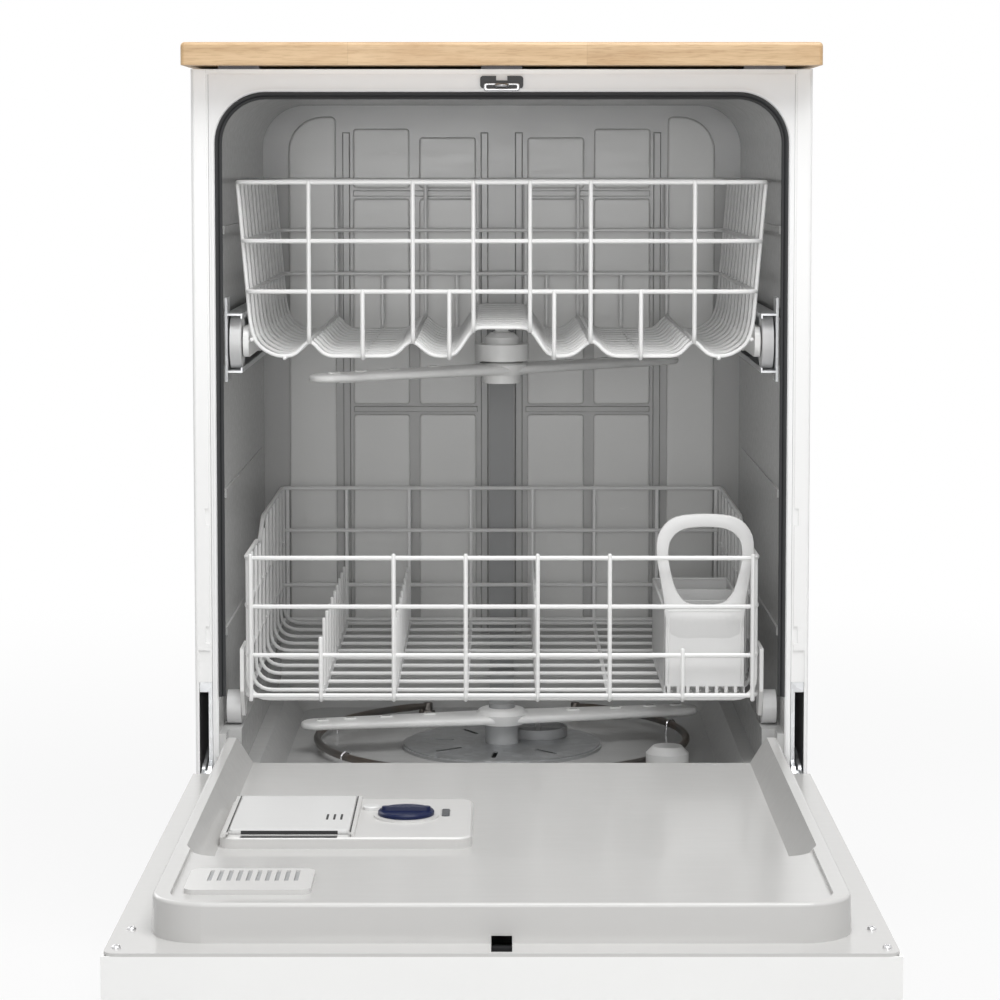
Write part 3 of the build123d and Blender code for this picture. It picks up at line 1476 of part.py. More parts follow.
def caster_fork(centre_x, swivel_y, trail, plate_top):
    """Builds a caster fork: a round plate, two cheeks down to the axle, and the axle."""
    disc(centre_x, swivel_y, plate_top - 3, plate_top, 21)
    for cheek in (-1, 1):
        start, end = sorted(
            (
                centre_x + cheek * (caster_width / 2 + 1),
                centre_x + cheek * (caster_width / 2 + 1 + fork_thickness),
            )
        )
        with BuildSketch(sideways(start)) as side:
            with BuildLine():
                Polyline(
                    (swivel_y - 14, plate_top - 1),
                    (swivel_y + trail - 8, caster_radius - 6),
                    (swivel_y + trail + 8, caster_radius - 6),
                    (swivel_y + 17, plate_top - 1),
                    close=True,
                )
            make_face()
        extrude(side.sketch, amount=end - start)
    rod_x(centre_x - caster_width / 2 - 2, centre_x + caster_width / 2 + 2, swivel_y + trail,
          caster_radius, caster_axle)


# Base frame: a floor flange all round, upright side walls with windows, a ledge for the tub, and
# the two fixed forks of the rear casters
base_top = tub_floor - tub_wall
base_plate_top = panel_bottom + base_sheet
with BuildPart() as base_frame:
    with BuildSketch(Plane.XY.offset(panel_bottom)):
        Rectangle(cabinet_width - 2 * sheet, cabinet_depth - 30)
        Rectangle(2 * rail_inner_half, cabinet_depth - 150, mode=Mode.SUBTRACT)
        Rectangle(2 * rail_inner_half + 10, 34)
    extrude(amount=base_sheet)
    for wall_side in (-1, 1):
        start, end = sorted(
            (wall_side * (base_wall_half - base_sheet), wall_side * base_wall_half)
        )
        with BuildSketch(sideways(start)):
            with Locations((0, (panel_bottom + base_top) / 2)):
                Rectangle(cabinet_depth - 40, base_top - panel_bottom)
                with GridLocations(175, 0, 3, 1):
                    RectangleRounded(130, 80, 16, mode=Mode.SUBTRACT)
        extrude(amount=end - start)
        start, end = sorted((wall_side * 254, wall_side * base_wall_half))
        slab(start, end, front_y + 20, back_y - 20, base_top - base_sheet, base_top)
    for caster_side in (-1, 1):
        disc(caster_side * caster_x, -caster_y, panel_bottom - 1, base_plate_top + 1,
             kingpin_radius + pin_clearance, Mode.SUBTRACT)
        caster_fork(caster_side * caster_x, caster_y, 0.0, panel_bottom)
base_frame.part.label = "base_frame"
export_step(base_frame.part, "parts/base_frame.step")

# Toe panel across the front of the base
with BuildPart() as toe_panel:
    with BuildSketch(sideways(-half + 20)):
        with BuildLine():
            Polyline(
                (front_y + 15, base_plate_top),
                (front_y + 15, 134),
                (front_y + 13, 140),
                (front_y + 19, 140),
                (front_y + 17, base_plate_top),
                close=True,
            )
        make_face()
    extrude(amount=cabinet_width - 40)
toe_panel.part.label = "toe_panel"
export_step(toe_panel.part, "parts/toe_panel.step")

# Hinge brackets: plates on the base walls, with noses ahead of the front that carry the pins
with BuildPart() as hinge_brackets:
    for plate_side in (-1, 1):
        start, end = sorted((plate_side * base_wall_half, plate_side * (base_wall_half + 3.8)))
        with BuildSketch(sideways(start)):
            with BuildLine():
                Polyline(
                    (front_y + 20, 100),
                    (front_y + 75, 100),
                    (front_y + 75, 190),
                    (front_y + 45, 240),
                    (front_y + 45, notch_top),
                    (front_y + 2, notch_top),
                    (front_y + 2, hinge_level + 12),
                    (hinge_y, hinge_level + 8),
                    (hinge_y - 8, hinge_level),
                    (hinge_y, hinge_level - 8),
                    (front_y + 20, hinge_level - 16),
                    close=True,
                )
            make_face()
        extrude(amount=end - start)
        start, end = sorted((plate_side * base_wall_half, plate_side * (arm_inner + arm_thickness + 1)))
        rod_x(start, end, hinge_y, hinge_level, hinge_pin_radius)
        start, end = sorted((plate_side * base_wall_half, plate_side * (half - sheet - 3)))
        slab(start, end, front_y + 2, front_y + 3.5, 280, notch_top)
hinge_brackets.part.label = "hinge_brackets"
export_step(hinge_brackets.part, "parts/hinge_brackets.step")

# Wash pump: a volute under the sump and a finned motor below it
with BuildPart() as wash_pump:
    disc(0, post_y, sump_floor - 16, sump_floor, 62)
    disc(0, post_y, 66, sump_floor - 16, 46)
    with BuildSketch(Plane.XY.offset(74)):
        with Locations((0, post_y)):
            with PolarLocations(48, 12):
                Rectangle(8, 3)
    extrude(amount=sump_floor - 16 - 74)
wash_pump.part.label = "wash_pump"
export_step(wash_pump.part, "parts/wash_pump.step")

# Drain pump on the volute's side
with BuildPart() as drain_pump:
    rod_x(62, 70, post_y, sump_floor - 30, 12)
    rod_x(70, 92, post_y, sump_floor - 30, 30)
    rod_x(92, 136, post_y, sump_floor - 30, 22)
    slab(46, 64, post_y - 8, post_y + 8, sump_floor - 38, sump_floor - 22)
    disc(0, post_y, 60, sump_floor, 62.3, Mode.SUBTRACT)
drain_pump.part.label = "drain_pump"
export_step(drain_pump.part, "parts/drain_pump.step")

# Ballast block on the rear flange, against tipping when the door is loaded
with BuildPart() as ballast:
    with BuildSketch(Plane.XY.offset(base_plate_top)):
        with Locations((0, cabinet_depth / 2 - 62)):
            Rectangle(400, 84)
    extrude(amount=92)
    chamfer(ballast.edges().filter_by(Axis.Z), 8)
ballast.part.label = "ballast"
export_step(ballast.part, "parts/ballast.step")


def swivel_fork(side_sign):
    """Builds a front caster's swivel fork: the fork, its kingpin and the pin's retaining disc."""
    fork_top = panel_bottom - seat_gap
    caster_fork(side_sign * caster_x, -caster_y, caster_trail, fork_top)
    disc(side_sign * caster_x, -caster_y, fork_top - 1, base_plate_top + 5, kingpin_radius)
    disc(side_sign * caster_x, -caster_y, base_plate_top + seat_gap, base_plate_top + 5, 9)


def caster_wheel(centre_x, centre_y):
    """Builds a caster wheel: a bored disc with bevelled tread edges, turned about its axle."""
    bore = caster_axle + pin_clearance
    half_tread = caster_width / 2
    with BuildSketch(upright(centre_y)) as section:
        with BuildLine():
            Polyline(
                (centre_x - half_tread, caster_radius + bore),
                (centre_x - half_tread, 2 * caster_radius - 2),
                (centre_x - half_tread + 2, 2 * caster_radius),
                (centre_x + half_tread - 2, 2 * caster_radius),
                (centre_x + half_tread, 2 * caster_radius - 2),
                (centre_x + half_tread, caster_radius + bore),
                close=True,
            )
        make_face()
    revolve(section.sketch, axis=Axis((centre_x, centre_y, caster_radius), (1, 0, 0)))


with BuildPart() as caster_fork_left:
    swivel_fork(-1)
caster_fork_left.part.label = "caster_fork_left"
export_step(caster_fork_left.part, "parts/caster_fork_left.step")

with BuildPart() as caster_fork_right:
    swivel_fork(1)
caster_fork_right.part.label = "caster_fork_right"
export_step(caster_fork_right.part, "parts/caster_fork_right.step")

with BuildPart() as caster_wheel_front_left:
    caster_wheel(-caster_x, -caster_y + caster_trail)
caster_wheel_front_left.part.label = "caster_wheel_front_left"
export_step(caster_wheel_front_left.part, "parts/caster_wheel_front_left.step")

with BuildPart() as caster_wheel_front_right:
    caster_wheel(caster_x, -caster_y + caster_trail)
caster_wheel_front_right.part.label = "caster_wheel_front_right"
export_step(caster_wheel_front_right.part, "parts/caster_wheel_front_right.step")

with BuildPart() as caster_wheel_rear_left:
    caster_wheel(-caster_x, caster_y)
caster_wheel_rear_left.part.label = "caster_wheel_rear_left"
export_step(caster_wheel_rear_left.part, "parts/caster_wheel_rear_left.step")

with BuildPart() as caster_wheel_rear_right:
    caster_wheel(caster_x, caster_y)
caster_wheel_rear_right.part.label = "caster_wheel_rear_right"
export_step(caster_wheel_rear_right.part, "parts/caster_wheel_rear_right.step")
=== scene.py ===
"""A portable dishwasher with a maple worktop, standing open, dressed for its photograph.

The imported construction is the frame. Pieces whose real form is finer than the construction's, such
as the round wire racks, the spray arms and the silverware basket, are made here and ride on its
bodies. Sizes are in millimetres until a piece becomes a mesh. The floor is level 0, the front -Y.
"""

import logging
from dataclasses import dataclass
from enum import Enum
from math import cos, pi, radians, sin
from typing import Callable, Sequence, Union

import bmesh
import bpy
import numpy as np
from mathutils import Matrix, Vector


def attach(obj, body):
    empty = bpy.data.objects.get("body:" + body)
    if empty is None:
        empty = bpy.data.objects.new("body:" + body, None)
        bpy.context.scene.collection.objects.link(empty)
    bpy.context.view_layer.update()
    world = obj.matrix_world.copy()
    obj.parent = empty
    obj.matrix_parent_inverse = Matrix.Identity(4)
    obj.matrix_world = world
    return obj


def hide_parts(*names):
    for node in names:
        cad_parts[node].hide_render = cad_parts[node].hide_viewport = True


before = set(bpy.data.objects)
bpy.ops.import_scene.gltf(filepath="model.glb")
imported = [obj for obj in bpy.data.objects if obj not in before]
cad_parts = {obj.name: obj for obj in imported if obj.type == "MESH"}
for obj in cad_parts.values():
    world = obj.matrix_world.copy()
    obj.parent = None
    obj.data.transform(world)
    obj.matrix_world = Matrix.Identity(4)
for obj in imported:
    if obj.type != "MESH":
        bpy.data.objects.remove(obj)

LOG = logging.getLogger("dishwasher")
MM = 0.001
SAME_POINT = 2e-7
SIDES = (-1, 1)
Outline = Callable[[float], np.ndarray]
Span = tuple[float, float]
Colour = tuple[float, float, float]


# ------------------------------------------------------------------------------------- surfaces


class Facing(Enum):
    """Which way a flat outline looks: for X, Y and Z in turn, the outline's own axis that it takes.

    Axis 0 runs across the outline, axis 1 up it, and axis 2 through its thickness.
    """

    FRONT = (0, 2, 1)
    UP = (0, 1, 2)
    SIDE = (2, 0, 1)


@dataclass(frozen=True)
class Shell:
    """One closed surface, before it joins a piece.

    Args:
        points: the corners, one row each, in millimetres.
        quads: four-sided faces as rows of point numbers.
        caps: the flat ends, each a ring of point numbers.
    """

    points: np.ndarray
    quads: np.ndarray
    caps: tuple = ()

    def turned(self, degrees: float, centre: tuple[float, float] = (0.0, 0.0)) -> "Shell":
        """The shell turned about an upright axis: x' = x cos a - y sin a, y' = x sin a + y cos a.

        Args:
            degrees: the turn, seen from above.
            centre: where the axis stands.

        Returns:
            The turned shell.
        """
        a, middle = radians(degrees), np.array([*centre, 0.0])
        spin = np.array([[cos(a), sin(a), 0], [-sin(a), cos(a), 0], [0, 0, 1]])
        return Shell((self.points - middle) @ spin + middle, self.quads, self.caps)

    def mirrored(self) -> "Shell":
        """The shell on the other side of the middle plane, x' = -x."""
        return Shell(self.points * np.array([-1.0, 1, 1]), self.quads, self.caps)


def loft(rings: np.ndarray, loop: bool = False) -> Shell:
    """A skin over rings: face (i, j) joins points j and j+1 of ring i to those of ring i+1.

    Args:
        rings: an array of rings by points by 3.
        loop: whether the last ring joins the first. Otherwise both ends get a flat cap.

    Returns:
        The closed shell.
    """
    count, around = rings.shape[:2]
    i = np.arange(count if loop else count - 1)[:, None]
    j = np.arange(around)[None, :]
    up, on = (i + 1) % count, (j + 1) % around
    corners = [i * around + j, i * around + on, up * around + on, up * around + j]
    quads = np.stack(corners, -1).reshape(-1, 4)
    ends = () if loop else (np.arange(around)[::-1], np.arange(around) + (count - 1) * around)
    return Shell(rings.reshape(-1, 3), quads, ends)


def rounded(points: Sequence, radius: float, steps: int = 4, closed: bool = False) -> np.ndarray:
    """A bent wire's line: each corner b becomes (1-t)^2 a + 2t(1-t) b + t^2 c, a and c on its runs.

    Args:
        points: the sharp corners.
        radius: how far a and c lie from the corner, at most just under half of the run.
        steps: the pieces that each bend is cut into.
        closed: whether the last corner runs on to the first.

    Returns:
        The bent line's points.
    """
    p = np.asarray(points, float)
    mid = p if closed else p[1:-1]
    before = np.roll(p, 1, 0) if closed else p[:-2]
    after = np.roll(p, -1, 0) if closed else p[2:]

    def reach(to: np.ndarray) -> np.ndarray:
        """The point on each run where the bend starts."""
        away = to - mid
        length = np.linalg.norm(away, axis=1, keepdims=True)
        return mid + away / length * np.minimum(radius, 0.48 * length)

    t = np.linspace(0, 1, steps + 1)[None, :, None]
    a, c = reach(before)[:, None], reach(after)[:, None]
    bends = ((1 - t) ** 2 * a + 2 * t * (1 - t) * mid[:, None] + t**2 * c).reshape(-1, 3)
    return bends if closed else np.concatenate([p[:1], bends, p[-1:]])


def unit(rows: np.ndarray) -> np.ndarray:
    """Each row divided by its length."""
    return rows / np.maximum(np.linalg.norm(rows, axis=-1, keepdims=True), 1e-9)


def tube(line: Sequence, radius: float, sides: int = 8, closed: bool = False) -> Shell:
    """Round wire: ring point = line + radius (cos a across + sin a up), with domed ends.

    The up direction comes from the plane that the line lies in, so a bent wire doesn't twist.

    Args:
        line: the wire's centreline.
        radius: half of its thickness.
        sides: points round the wire.
        closed: whether the wire is a hoop.

    Returns:
        The wire.
    """
    path = np.asarray(line, float)
    size = np.ones(len(path))
    if closed:
        ahead = unit(np.roll(path, -1, 0) - np.roll(path, 1, 0))
    else:
        ahead = unit(np.gradient(path, axis=0))
        inset, dome = np.array([0, 0.2, 0.55, 1.0]) * radius, np.array([0.45, 0.8, 0.96, 1.0])
        start = path[:1] + ahead[:1] * inset[:, None]
        end = path[-1:] - ahead[-1:] * inset[::-1, None]
        path = np.concatenate([start, path[1:-1], end])
        size = np.concatenate([dome, size[1:-1], dome[::-1]])
        first, last = (np.repeat(way, len(dome), 0) for way in (ahead[:1], ahead[-1:]))
        ahead = np.concatenate([first, ahead[1:-1], last])
    normal = np.linalg.svd(path - path.mean(0))[2][2]
    across = unit(np.cross(normal, ahead))
    up = np.cross(ahead, across)
    a = np.arange(sides) * 2 * pi / sides + pi / sides
    ring = np.cos(a)[None, :, None] * across[:, None] + np.sin(a)[None, :, None] * up[:, None]
    return loft(path[:, None] + radius * size[:, None, None] * ring, loop=closed)


def panel(u: Span, v: Span, radii: Union[float, Sequence[float]], steps: int = 4) -> Outline:
    """A rectangle whose corners are quarter turns of centre + (radius - inset)(cos a, sin a).

    Args:
        u: the low and high end across.
        v: the low and high end up.
        radii: one corner radius, or four, from the low-low corner anticlockwise.
        steps: the pieces that each corner is cut into.

    Returns:
        A function of the inset that gives the outline's points.
    """
    r = np.broadcast_to(np.asarray(radii, float), (4,))
    side = np.array([[1, 1], [-1, 1], [-1, -1], [1, -1]])
    corner = np.array([[u[0], v[0]], [u[1], v[0]], [u[1], v[1]], [u[0], v[1]]])
    turn = np.array([pi, 1.5 * pi, 0, 0.5 * pi])[:, None] + np.linspace(0, pi / 2, steps + 1)[None]

    def at(inset: float) -> np.ndarray:
        """The outline moved inwards by inset."""
        centre = corner + side * np.maximum(r, inset + 0.02)[:, None]
        way = np.stack([np.cos(turn), np.sin(turn)], -1)
        bow = np.maximum(r - inset, 0.02)[:, None, None] * way
        return (centre[:, None] + bow).reshape(-1, 2)

    return at


def slab(outline: Outline, low: float, high: float, facing: Facing, edge: float = 0.5) -> Shell:
    """A flat piece with eased edges: the outline at six depths, inset up to edge near each face.

    One more ring just inside each face's rim keeps the face's shading flat.

    Args:
        outline: the outline as a function of its inset.
        low: where its thickness starts.
        high: where its thickness ends.
        facing: the way that it looks.
        edge: how far its edges are rounded.

    Returns:
        The closed piece.
    """
    edge = min(edge, 0.49 * (high - low))
    depth = [low, low, low + 0.3 * edge, low + edge, high - edge, high - 0.3 * edge, high, high]
    inset = [1.25 * edge, edge, 0.3 * edge, 0, 0, 0.3 * edge, edge, 1.25 * edge]
    rings = np.stack([np.insert(outline(i), 2, d, axis=1) for d, i in zip(depth, inset)])
    return loft(rings[..., list(facing.value)])


def bar(x: tuple, y: tuple, z: tuple, edge: float = 0.4) -> Shell:
    """A straight bar between two corners with all its edges eased."""
    return slab(panel(x, y, edge, 2), z[0], z[1], Facing.UP, edge)


def lathe(profile: Sequence, centre: Sequence, sides: int, loop: bool = False) -> Shell:
    """A turned piece on an upright axis: profile point (r, h) gives the ring (r cos a, r sin a, h).

    Args:
        profile: radius and height pairs, from one end to the other.
        centre: where the axis's zero height lies.
        sides: points round the piece.
        loop: whether the profile closes on itself, round a bore.

    Returns:
        The turned piece.
    """
    p, a = np.asarray(profile, float), np.arange(sides) * 2 * pi / sides
    rings = np.stack([np.outer(p[:, 0], np.cos(a)), np.outer(p[:, 0], np.sin(a))], -1)
    rings = np.concatenate([rings, np.broadcast_to(p[:, 1:2, None], (*rings.shape[:2], 1))], -1)
    return loft(rings + np.asarray(centre, float), loop)


def ring_plate(outer: np.ndarray, inner: np.ndarray, low: float, high: float, edge: float) -> Shell:
    """A flat frame facing front: two outlines with as many points each, skinned round its bar.

    Args:
        outer: the outer outline, x and z.
        inner: the hole's outline, x and z.
        low: the front of its thickness.
        high: the back.
        edge: how far its edges are rounded.

    Returns:
        The closed frame.
    """
    def level(line: np.ndarray, towards: np.ndarray, share: float, y: float) -> np.ndarray:
        """The line moved a length of share towards the other one, at depth y."""
        line = line + unit(towards - line) * share
        return np.stack([line[:, 0], np.full(len(line), y), line[:, 1]], -1)

    third = 0.3 * edge
    front = [(0, low + edge), (third, low + third), (edge, low)]
    back = [(0, high - edge), (third, high - third), (edge, high)]
    rings = [level(outer, inner, *step) for step in front]
    rings += [level(inner, outer, *step) for step in front[::-1] + back]
    rings += [level(outer, inner, *step) for step in back[::-1]]
    return loft(np.stack(rings), loop=True)


def smooth_loop(points: Sequence, centre: Span, count: int = 56) -> np.ndarray:
    """A closed curve through the points, one point to each equal step of angle about the centre.

    Each stretch is a cubic with the slopes of its neighbours (Catmull and Rom's rule).

    Args:
        points: points on the curve in order.
        centre: what the angles are measured about.
        count: how many points come back.

    Returns:
        The curve's points, anticlockwise from the right.
    """
    p = np.asarray(points, float)
    a, b, c, d = np.roll(p, 1, 0), p, np.roll(p, -1, 0), np.roll(p, -2, 0)
    t = np.linspace(0, 1, 12, endpoint=False)[None, :, None]
    a, b, c, d = (q[:, None] for q in (a, b, c, d))
    curve = b + t * (c - a) / 2 + t**2 * (a - 2.5 * b + 2 * c - d / 2)
    curve = curve + t**3 * (1.5 * (b - c) + (d - a) / 2)
    away = curve.reshape(-1, 2) - np.array(centre)
    angle, reach = np.arctan2(away[:, 1], away[:, 0]), np.hypot(away[:, 0], away[:, 1])
    order = np.argsort(angle)
    even = np.linspace(-pi, pi, count, endpoint=False)
    r = np.interp(even, angle[order], reach[order], period=2 * pi)
    return np.array(centre) + r[:, None] * np.stack([np.cos(even), np.sin(even)], -1)


def screw(seat: Sequence, facing: Facing, radius: float) -> Shell:
    """A pan-head screw: height = dome (1 - (r/R)^2)^0.6 less a cross of two soft-edged arms.

    Args:
        seat: the point that it is driven in at.
        facing: the axis that its head looks along.
        radius: the head's radius.

    Returns:
        The head.
    """
    share = np.concatenate([[1, 1], np.cos(np.linspace(0.15, 1.54, 11))])[:, None]
    a = (np.arange(24) * 2 * pi / 24)[None, :]
    u, v = share * np.cos(a), share * np.sin(a)
    dome = 0.55 * np.maximum(1 - share**2, 0) ** 0.6 + 0.18 + 0 * a
    dome[0] = -0.1

    def arm(p: np.ndarray, q: np.ndarray) -> np.ndarray:
        """One arm of the cross, as a mask from 0 to 1."""
        width, length = (0.13 - abs(p)) / 0.07, (0.6 - abs(q)) / 0.12
        return np.clip(width + 0.5, 0, 1) * np.clip(length + 0.5, 0, 1)

    dome -= 0.34 * np.maximum(arm(u, v), arm(v, u)) * (share < 0.9)
    rings = np.stack([u, v, dome], -1)[..., list(facing.value)]
    return loft(rings * radius + np.array(seat))


def build(
    name: str,
    shells: Sequence[Shell],
    finish: "Finish",
    body: str,
    replaces: Sequence[str] = (),
    angle: float = 38,
) -> bpy.types.Object:
    """Joins shells into one piece, closes it, turns its faces outwards, and hangs it on its body.

    Args:
        name: the piece's name.
        shells: what it is made of.
        finish: what it wears.
        body: the body it moves with.
        replaces: the construction's nodes that it stands for.
        angle: edges sharper than this stay crisp.

    Returns:
        The piece.
    """
    starts = np.cumsum([0] + [len(s.points) for s in shells])[:-1]
    corners = [(s.quads + k).ravel() for s, k in zip(shells, starts)]
    corners += [cap + k for s, k in zip(shells, starts) for cap in s.caps]
    sizes = [np.full(len(s.quads), 4) for s in shells]
    sizes += [np.array([len(cap)]) for s in shells for cap in s.caps]
    loops, sizes = np.concatenate(corners), np.concatenate(sizes)
    first = np.concatenate([[0], np.cumsum(sizes)[:-1]])
    points = np.concatenate([s.points for s in shells]) * MM
    mesh = bpy.data.meshes.new(name)
    mesh.vertices.add(len(points))
    mesh.vertices.foreach_set("co", points.astype(np.float32).ravel())
    mesh.loops.add(len(loops))
    mesh.loops.foreach_set("vertex_index", loops.astype(np.int32))
    mesh.polygons.add(len(sizes))
    mesh.polygons.foreach_set("loop_start", first.astype(np.int32))
    mesh.update(calc_edges=True)
    mesh.validate()
    skin = bmesh.new()
    skin.from_mesh(mesh)
    bmesh.ops.remove_doubles(skin, verts=skin.verts, dist=SAME_POINT)
    bmesh.ops.recalc_face_normals(skin, faces=skin.faces)
    skin.to_mesh(mesh)
    skin.free()
    mesh.shade_smooth()
    mesh.set_sharp_from_angle(angle=radians(angle))
    mesh.materials.append(finish.material())
    piece = bpy.data.objects.new(name, mesh)
    bpy.context.scene.collection.objects.link(piece)
    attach(piece, body)
    if replaces:
        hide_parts(*replaces)
    LOG.info("%s: %d faces on %s", name, len(mesh.polygons), body)
    return piece


# ------------------------------------------------------------------------------------- finishes


@dataclass(frozen=True)
class Field:
    """A number that varies over a surface. Sums and products of fields add Math nodes.

    Args:
        shade: the nodes that it belongs to.
        socket: where it comes from.
    """

    shade: "Shade"
    socket: bpy.types.NodeSocket

    def _math(self, operation: str, *values: Union["Field", float]) -> "Field":
        """One Math node over the values."""
        made = self.shade.node("ShaderNodeMath", {"operation": operation}, dict(enumerate(values)))
        return Field(self.shade, made.outputs[0])

    def __add__(self, other: Union["Field", float]) -> "Field":
        """The sum."""
        return self._math("ADD", self, other)

    def __radd__(self, other: float) -> "Field":
        """The sum, number first."""
        return self._math("ADD", other, self)

    def __sub__(self, other: Union["Field", float]) -> "Field":
        """The difference."""
        return self._math("SUBTRACT", self, other)

    def __rsub__(self, other: float) -> "Field":
        """The difference, number first."""
        return self._math("SUBTRACT", other, self)

    def __mul__(self, other: Union["Field", float]) -> "Field":
        """The product."""
        return self._math("MULTIPLY", self, other)

    def __rmul__(self, other: float) -> "Field":
        """The product, number first."""
        return self._math("MULTIPLY", other, self)

    def __truediv__(self, other: Union["Field", float]) -> "Field":
        """The quotient."""
        return self._math("DIVIDE", self, other)

    def floor(self) -> "Field":
        """The whole number below."""
        return self._math("FLOOR", self)

    def fraction(self) -> "Field":
        """What is left over the whole number below."""
        return self._math("FRACT", self)

    def largest(self, other: Union["Field", float]) -> "Field":
        """The larger of the two."""
        return self._math("MAXIMUM", self, other)

    def clamped(self) -> "Field":
        """The value kept from 0 to 1."""
        return self._math("MINIMUM", self.largest(0.0), 1.0)

    def above(self, low: float, high: float) -> "Field":
        """A smooth step from 0 at low to 1 at high."""
        made = self.shade.node(
            "ShaderNodeMapRange",
            {"interpolation_type": "SMOOTHSTEP"},
            {"Value": self, "From Min": low, "From Max": high},
        )
        return Field(self.shade, made.outputs[0])


Value = Union[Field, bpy.types.NodeSocket, float, tuple]


class Shade:
    """The nodes of one material, or of the room."""

    def __init__(self, owner: Union[bpy.types.Material, bpy.types.World]) -> None:
        """Starts the owner with no nodes."""
        self.owner = owner
        owner.use_nodes = True
        self.tree = owner.node_tree
        self.tree.nodes.clear()

    def node(
        self, kind: str, settings: dict | None = None, inputs: dict | None = None
    ) -> bpy.types.Node:
        """Adds a node, sets its own settings and then its sockets.

        Args:
            kind: the node's type.
            settings: its settings, with a ramp's stops as pairs of place and colour.
            inputs: for each socket's name, identifier or number, a value or what it is linked from.

        Returns:
            The node.
        """
        made = self.tree.nodes.new(kind)
        for key, value in (settings or {}).items():
            if key == "stops":
                for place, colour in value[len(made.color_ramp.elements):]:
                    made.color_ramp.elements.new(place)
                for element, (place, colour) in zip(made.color_ramp.elements, value):
                    element.position, element.color = place, (*colour, 1.0)
            else:
                setattr(made, key, value)
        for key, value in (inputs or {}).items():
            socket = made.inputs[key] if isinstance(key, int) else self._socket(made, key)
            value = value.socket if isinstance(value, Field) else value
            if isinstance(value, bpy.types.NodeSocket):
                self.tree.links.new(value, socket)
            else:
                socket.default_value = value
        return made

    @staticmethod
    def _socket(made: bpy.types.Node, key: str) -> bpy.types.NodeSocket:
        """The input with that identifier, or else with that name."""
        exact = [s for s in made.inputs if s.identifier == key]
        return (exact or [s for s in made.inputs if s.name == key])[0]

    def place(self, scale: Sequence = (1, 1, 1)) -> bpy.types.NodeSocket:
        """The point on the piece in metres, stretched by scale."""
        spot = self.node("ShaderNodeTexCoord").outputs["Object"]
        inputs = {"Vector": spot, "Scale": tuple(scale)}
        return self.node("ShaderNodeMapping", None, inputs).outputs[0]

    def noise(
        self, scale: float, at: Value | None = None, detail: float = 2.0, rough: float = 0.5
    ) -> Field:
        """Cloudy noise from 0 to 1, with scale clouds to a metre."""
        inputs = {"Vector": at or self.place(), "Scale": scale}
        inputs |= {"Detail": detail, "Roughness": rough}
        return Field(self, self.node("ShaderNodeTexNoise", None, inputs).outputs[0])

    def cells(self, scale: float, output: str) -> bpy.types.NodeSocket:
        """Cells, scale of them to a metre: the Distance to a cell's middle, or its own Color."""
        inputs = {"Vector": self.place(), "Scale": scale}
        return self.node("ShaderNodeTexVoronoi", None, inputs).outputs[output]

    def mix(self, share: Value, a: Value, b: Value) -> bpy.types.NodeSocket:
        """Colour a where share is 0 and colour b where it is 1."""
        a, b = ((*c, 1.0) if isinstance(c, tuple) and len(c) == 3 else c for c in (a, b))
        inputs = {"Factor_Float": share, "A_Color": a, "B_Color": b}
        made = self.node("ShaderNodeMix", {"data_type": "RGBA"}, inputs)
        return next(s for s in made.outputs if s.identifier == "Result_Color")

    def edges(self, reach: float) -> Field:
        """1 along a piece's edges, 0 on its faces: how far the normal, eased over reach, leans."""
        eased = self.node("ShaderNodeBevel", {"samples": 3}, {"Radius": reach * MM}).outputs[0]
        true = self.node("ShaderNodeNewGeometry").outputs["Normal"]
        dot = self.node("ShaderNodeVectorMath", {"operation": "DOT_PRODUCT"}, {0: eased, 1: true})
        return ((1.0 - Field(self, dot.outputs["Value"])) * 5.0).clamped()

    def surface(
        self,
        colour: Value,
        roughness: Value,
        relief: Sequence,
        alpha: Value = 1.0,
        **steady: Value,
    ) -> bpy.types.Material:
        """Ends the material in a Principled shader.

        Args:
            colour: its base colour.
            roughness: its roughness.
            relief: pairs of a height field and the depth in millimetres that it stands for.
            alpha: how solid it is.
            steady: the other sockets, underscores for spaces.

        Returns:
            The material.
        """
        inputs = {"Base Color": colour, "Roughness": roughness, "Alpha": alpha}
        inputs |= {key.replace("_", " "): value for key, value in steady.items()}
        for height, depth in relief:
            bump = {"Height": height, "Distance": depth * MM, "Strength": 1.0}
            if "Normal" in inputs:
                bump["Normal"] = inputs["Normal"]
            inputs["Normal"] = self.node("ShaderNodeBump", None, bump).outputs[0]
        shader = self.node("ShaderNodeBsdfPrincipled", None, inputs)
        self.node("ShaderNodeOutputMaterial", None, {"Surface": shader.outputs[0]})
        return self.owner


def toned(colour: Colour, by: float) -> Colour:
    """The colour made lighter or darker by a share."""
    return tuple(min(1.0, max(0.0, c * (1 + by))) for c in colour)


MADE: dict[str, bpy.types.Material] = {}


@dataclass(frozen=True)
class Finish:
    """What a surface wears.

    Args:
        name: what its material is called.
        slot: the material slot that it belongs to; nothing here reads it.
        colour: its colour.
        roughness: how rough it is, from 0 for a mirror.
    """

    name: str
    slot: str
    colour: Colour
    roughness: float

    def material(self) -> bpy.types.Material:
        """The finish's material, made the first time it is asked for."""
        if self.name not in MADE:
            MADE[self.name] = self.dress(Shade(bpy.data.materials.new(self.name)))
        return MADE[self.name]

    def dress(self, shade: Shade) -> bpy.types.Material:
        """Builds the nodes in shade and returns the material."""
        raise NotImplementedError


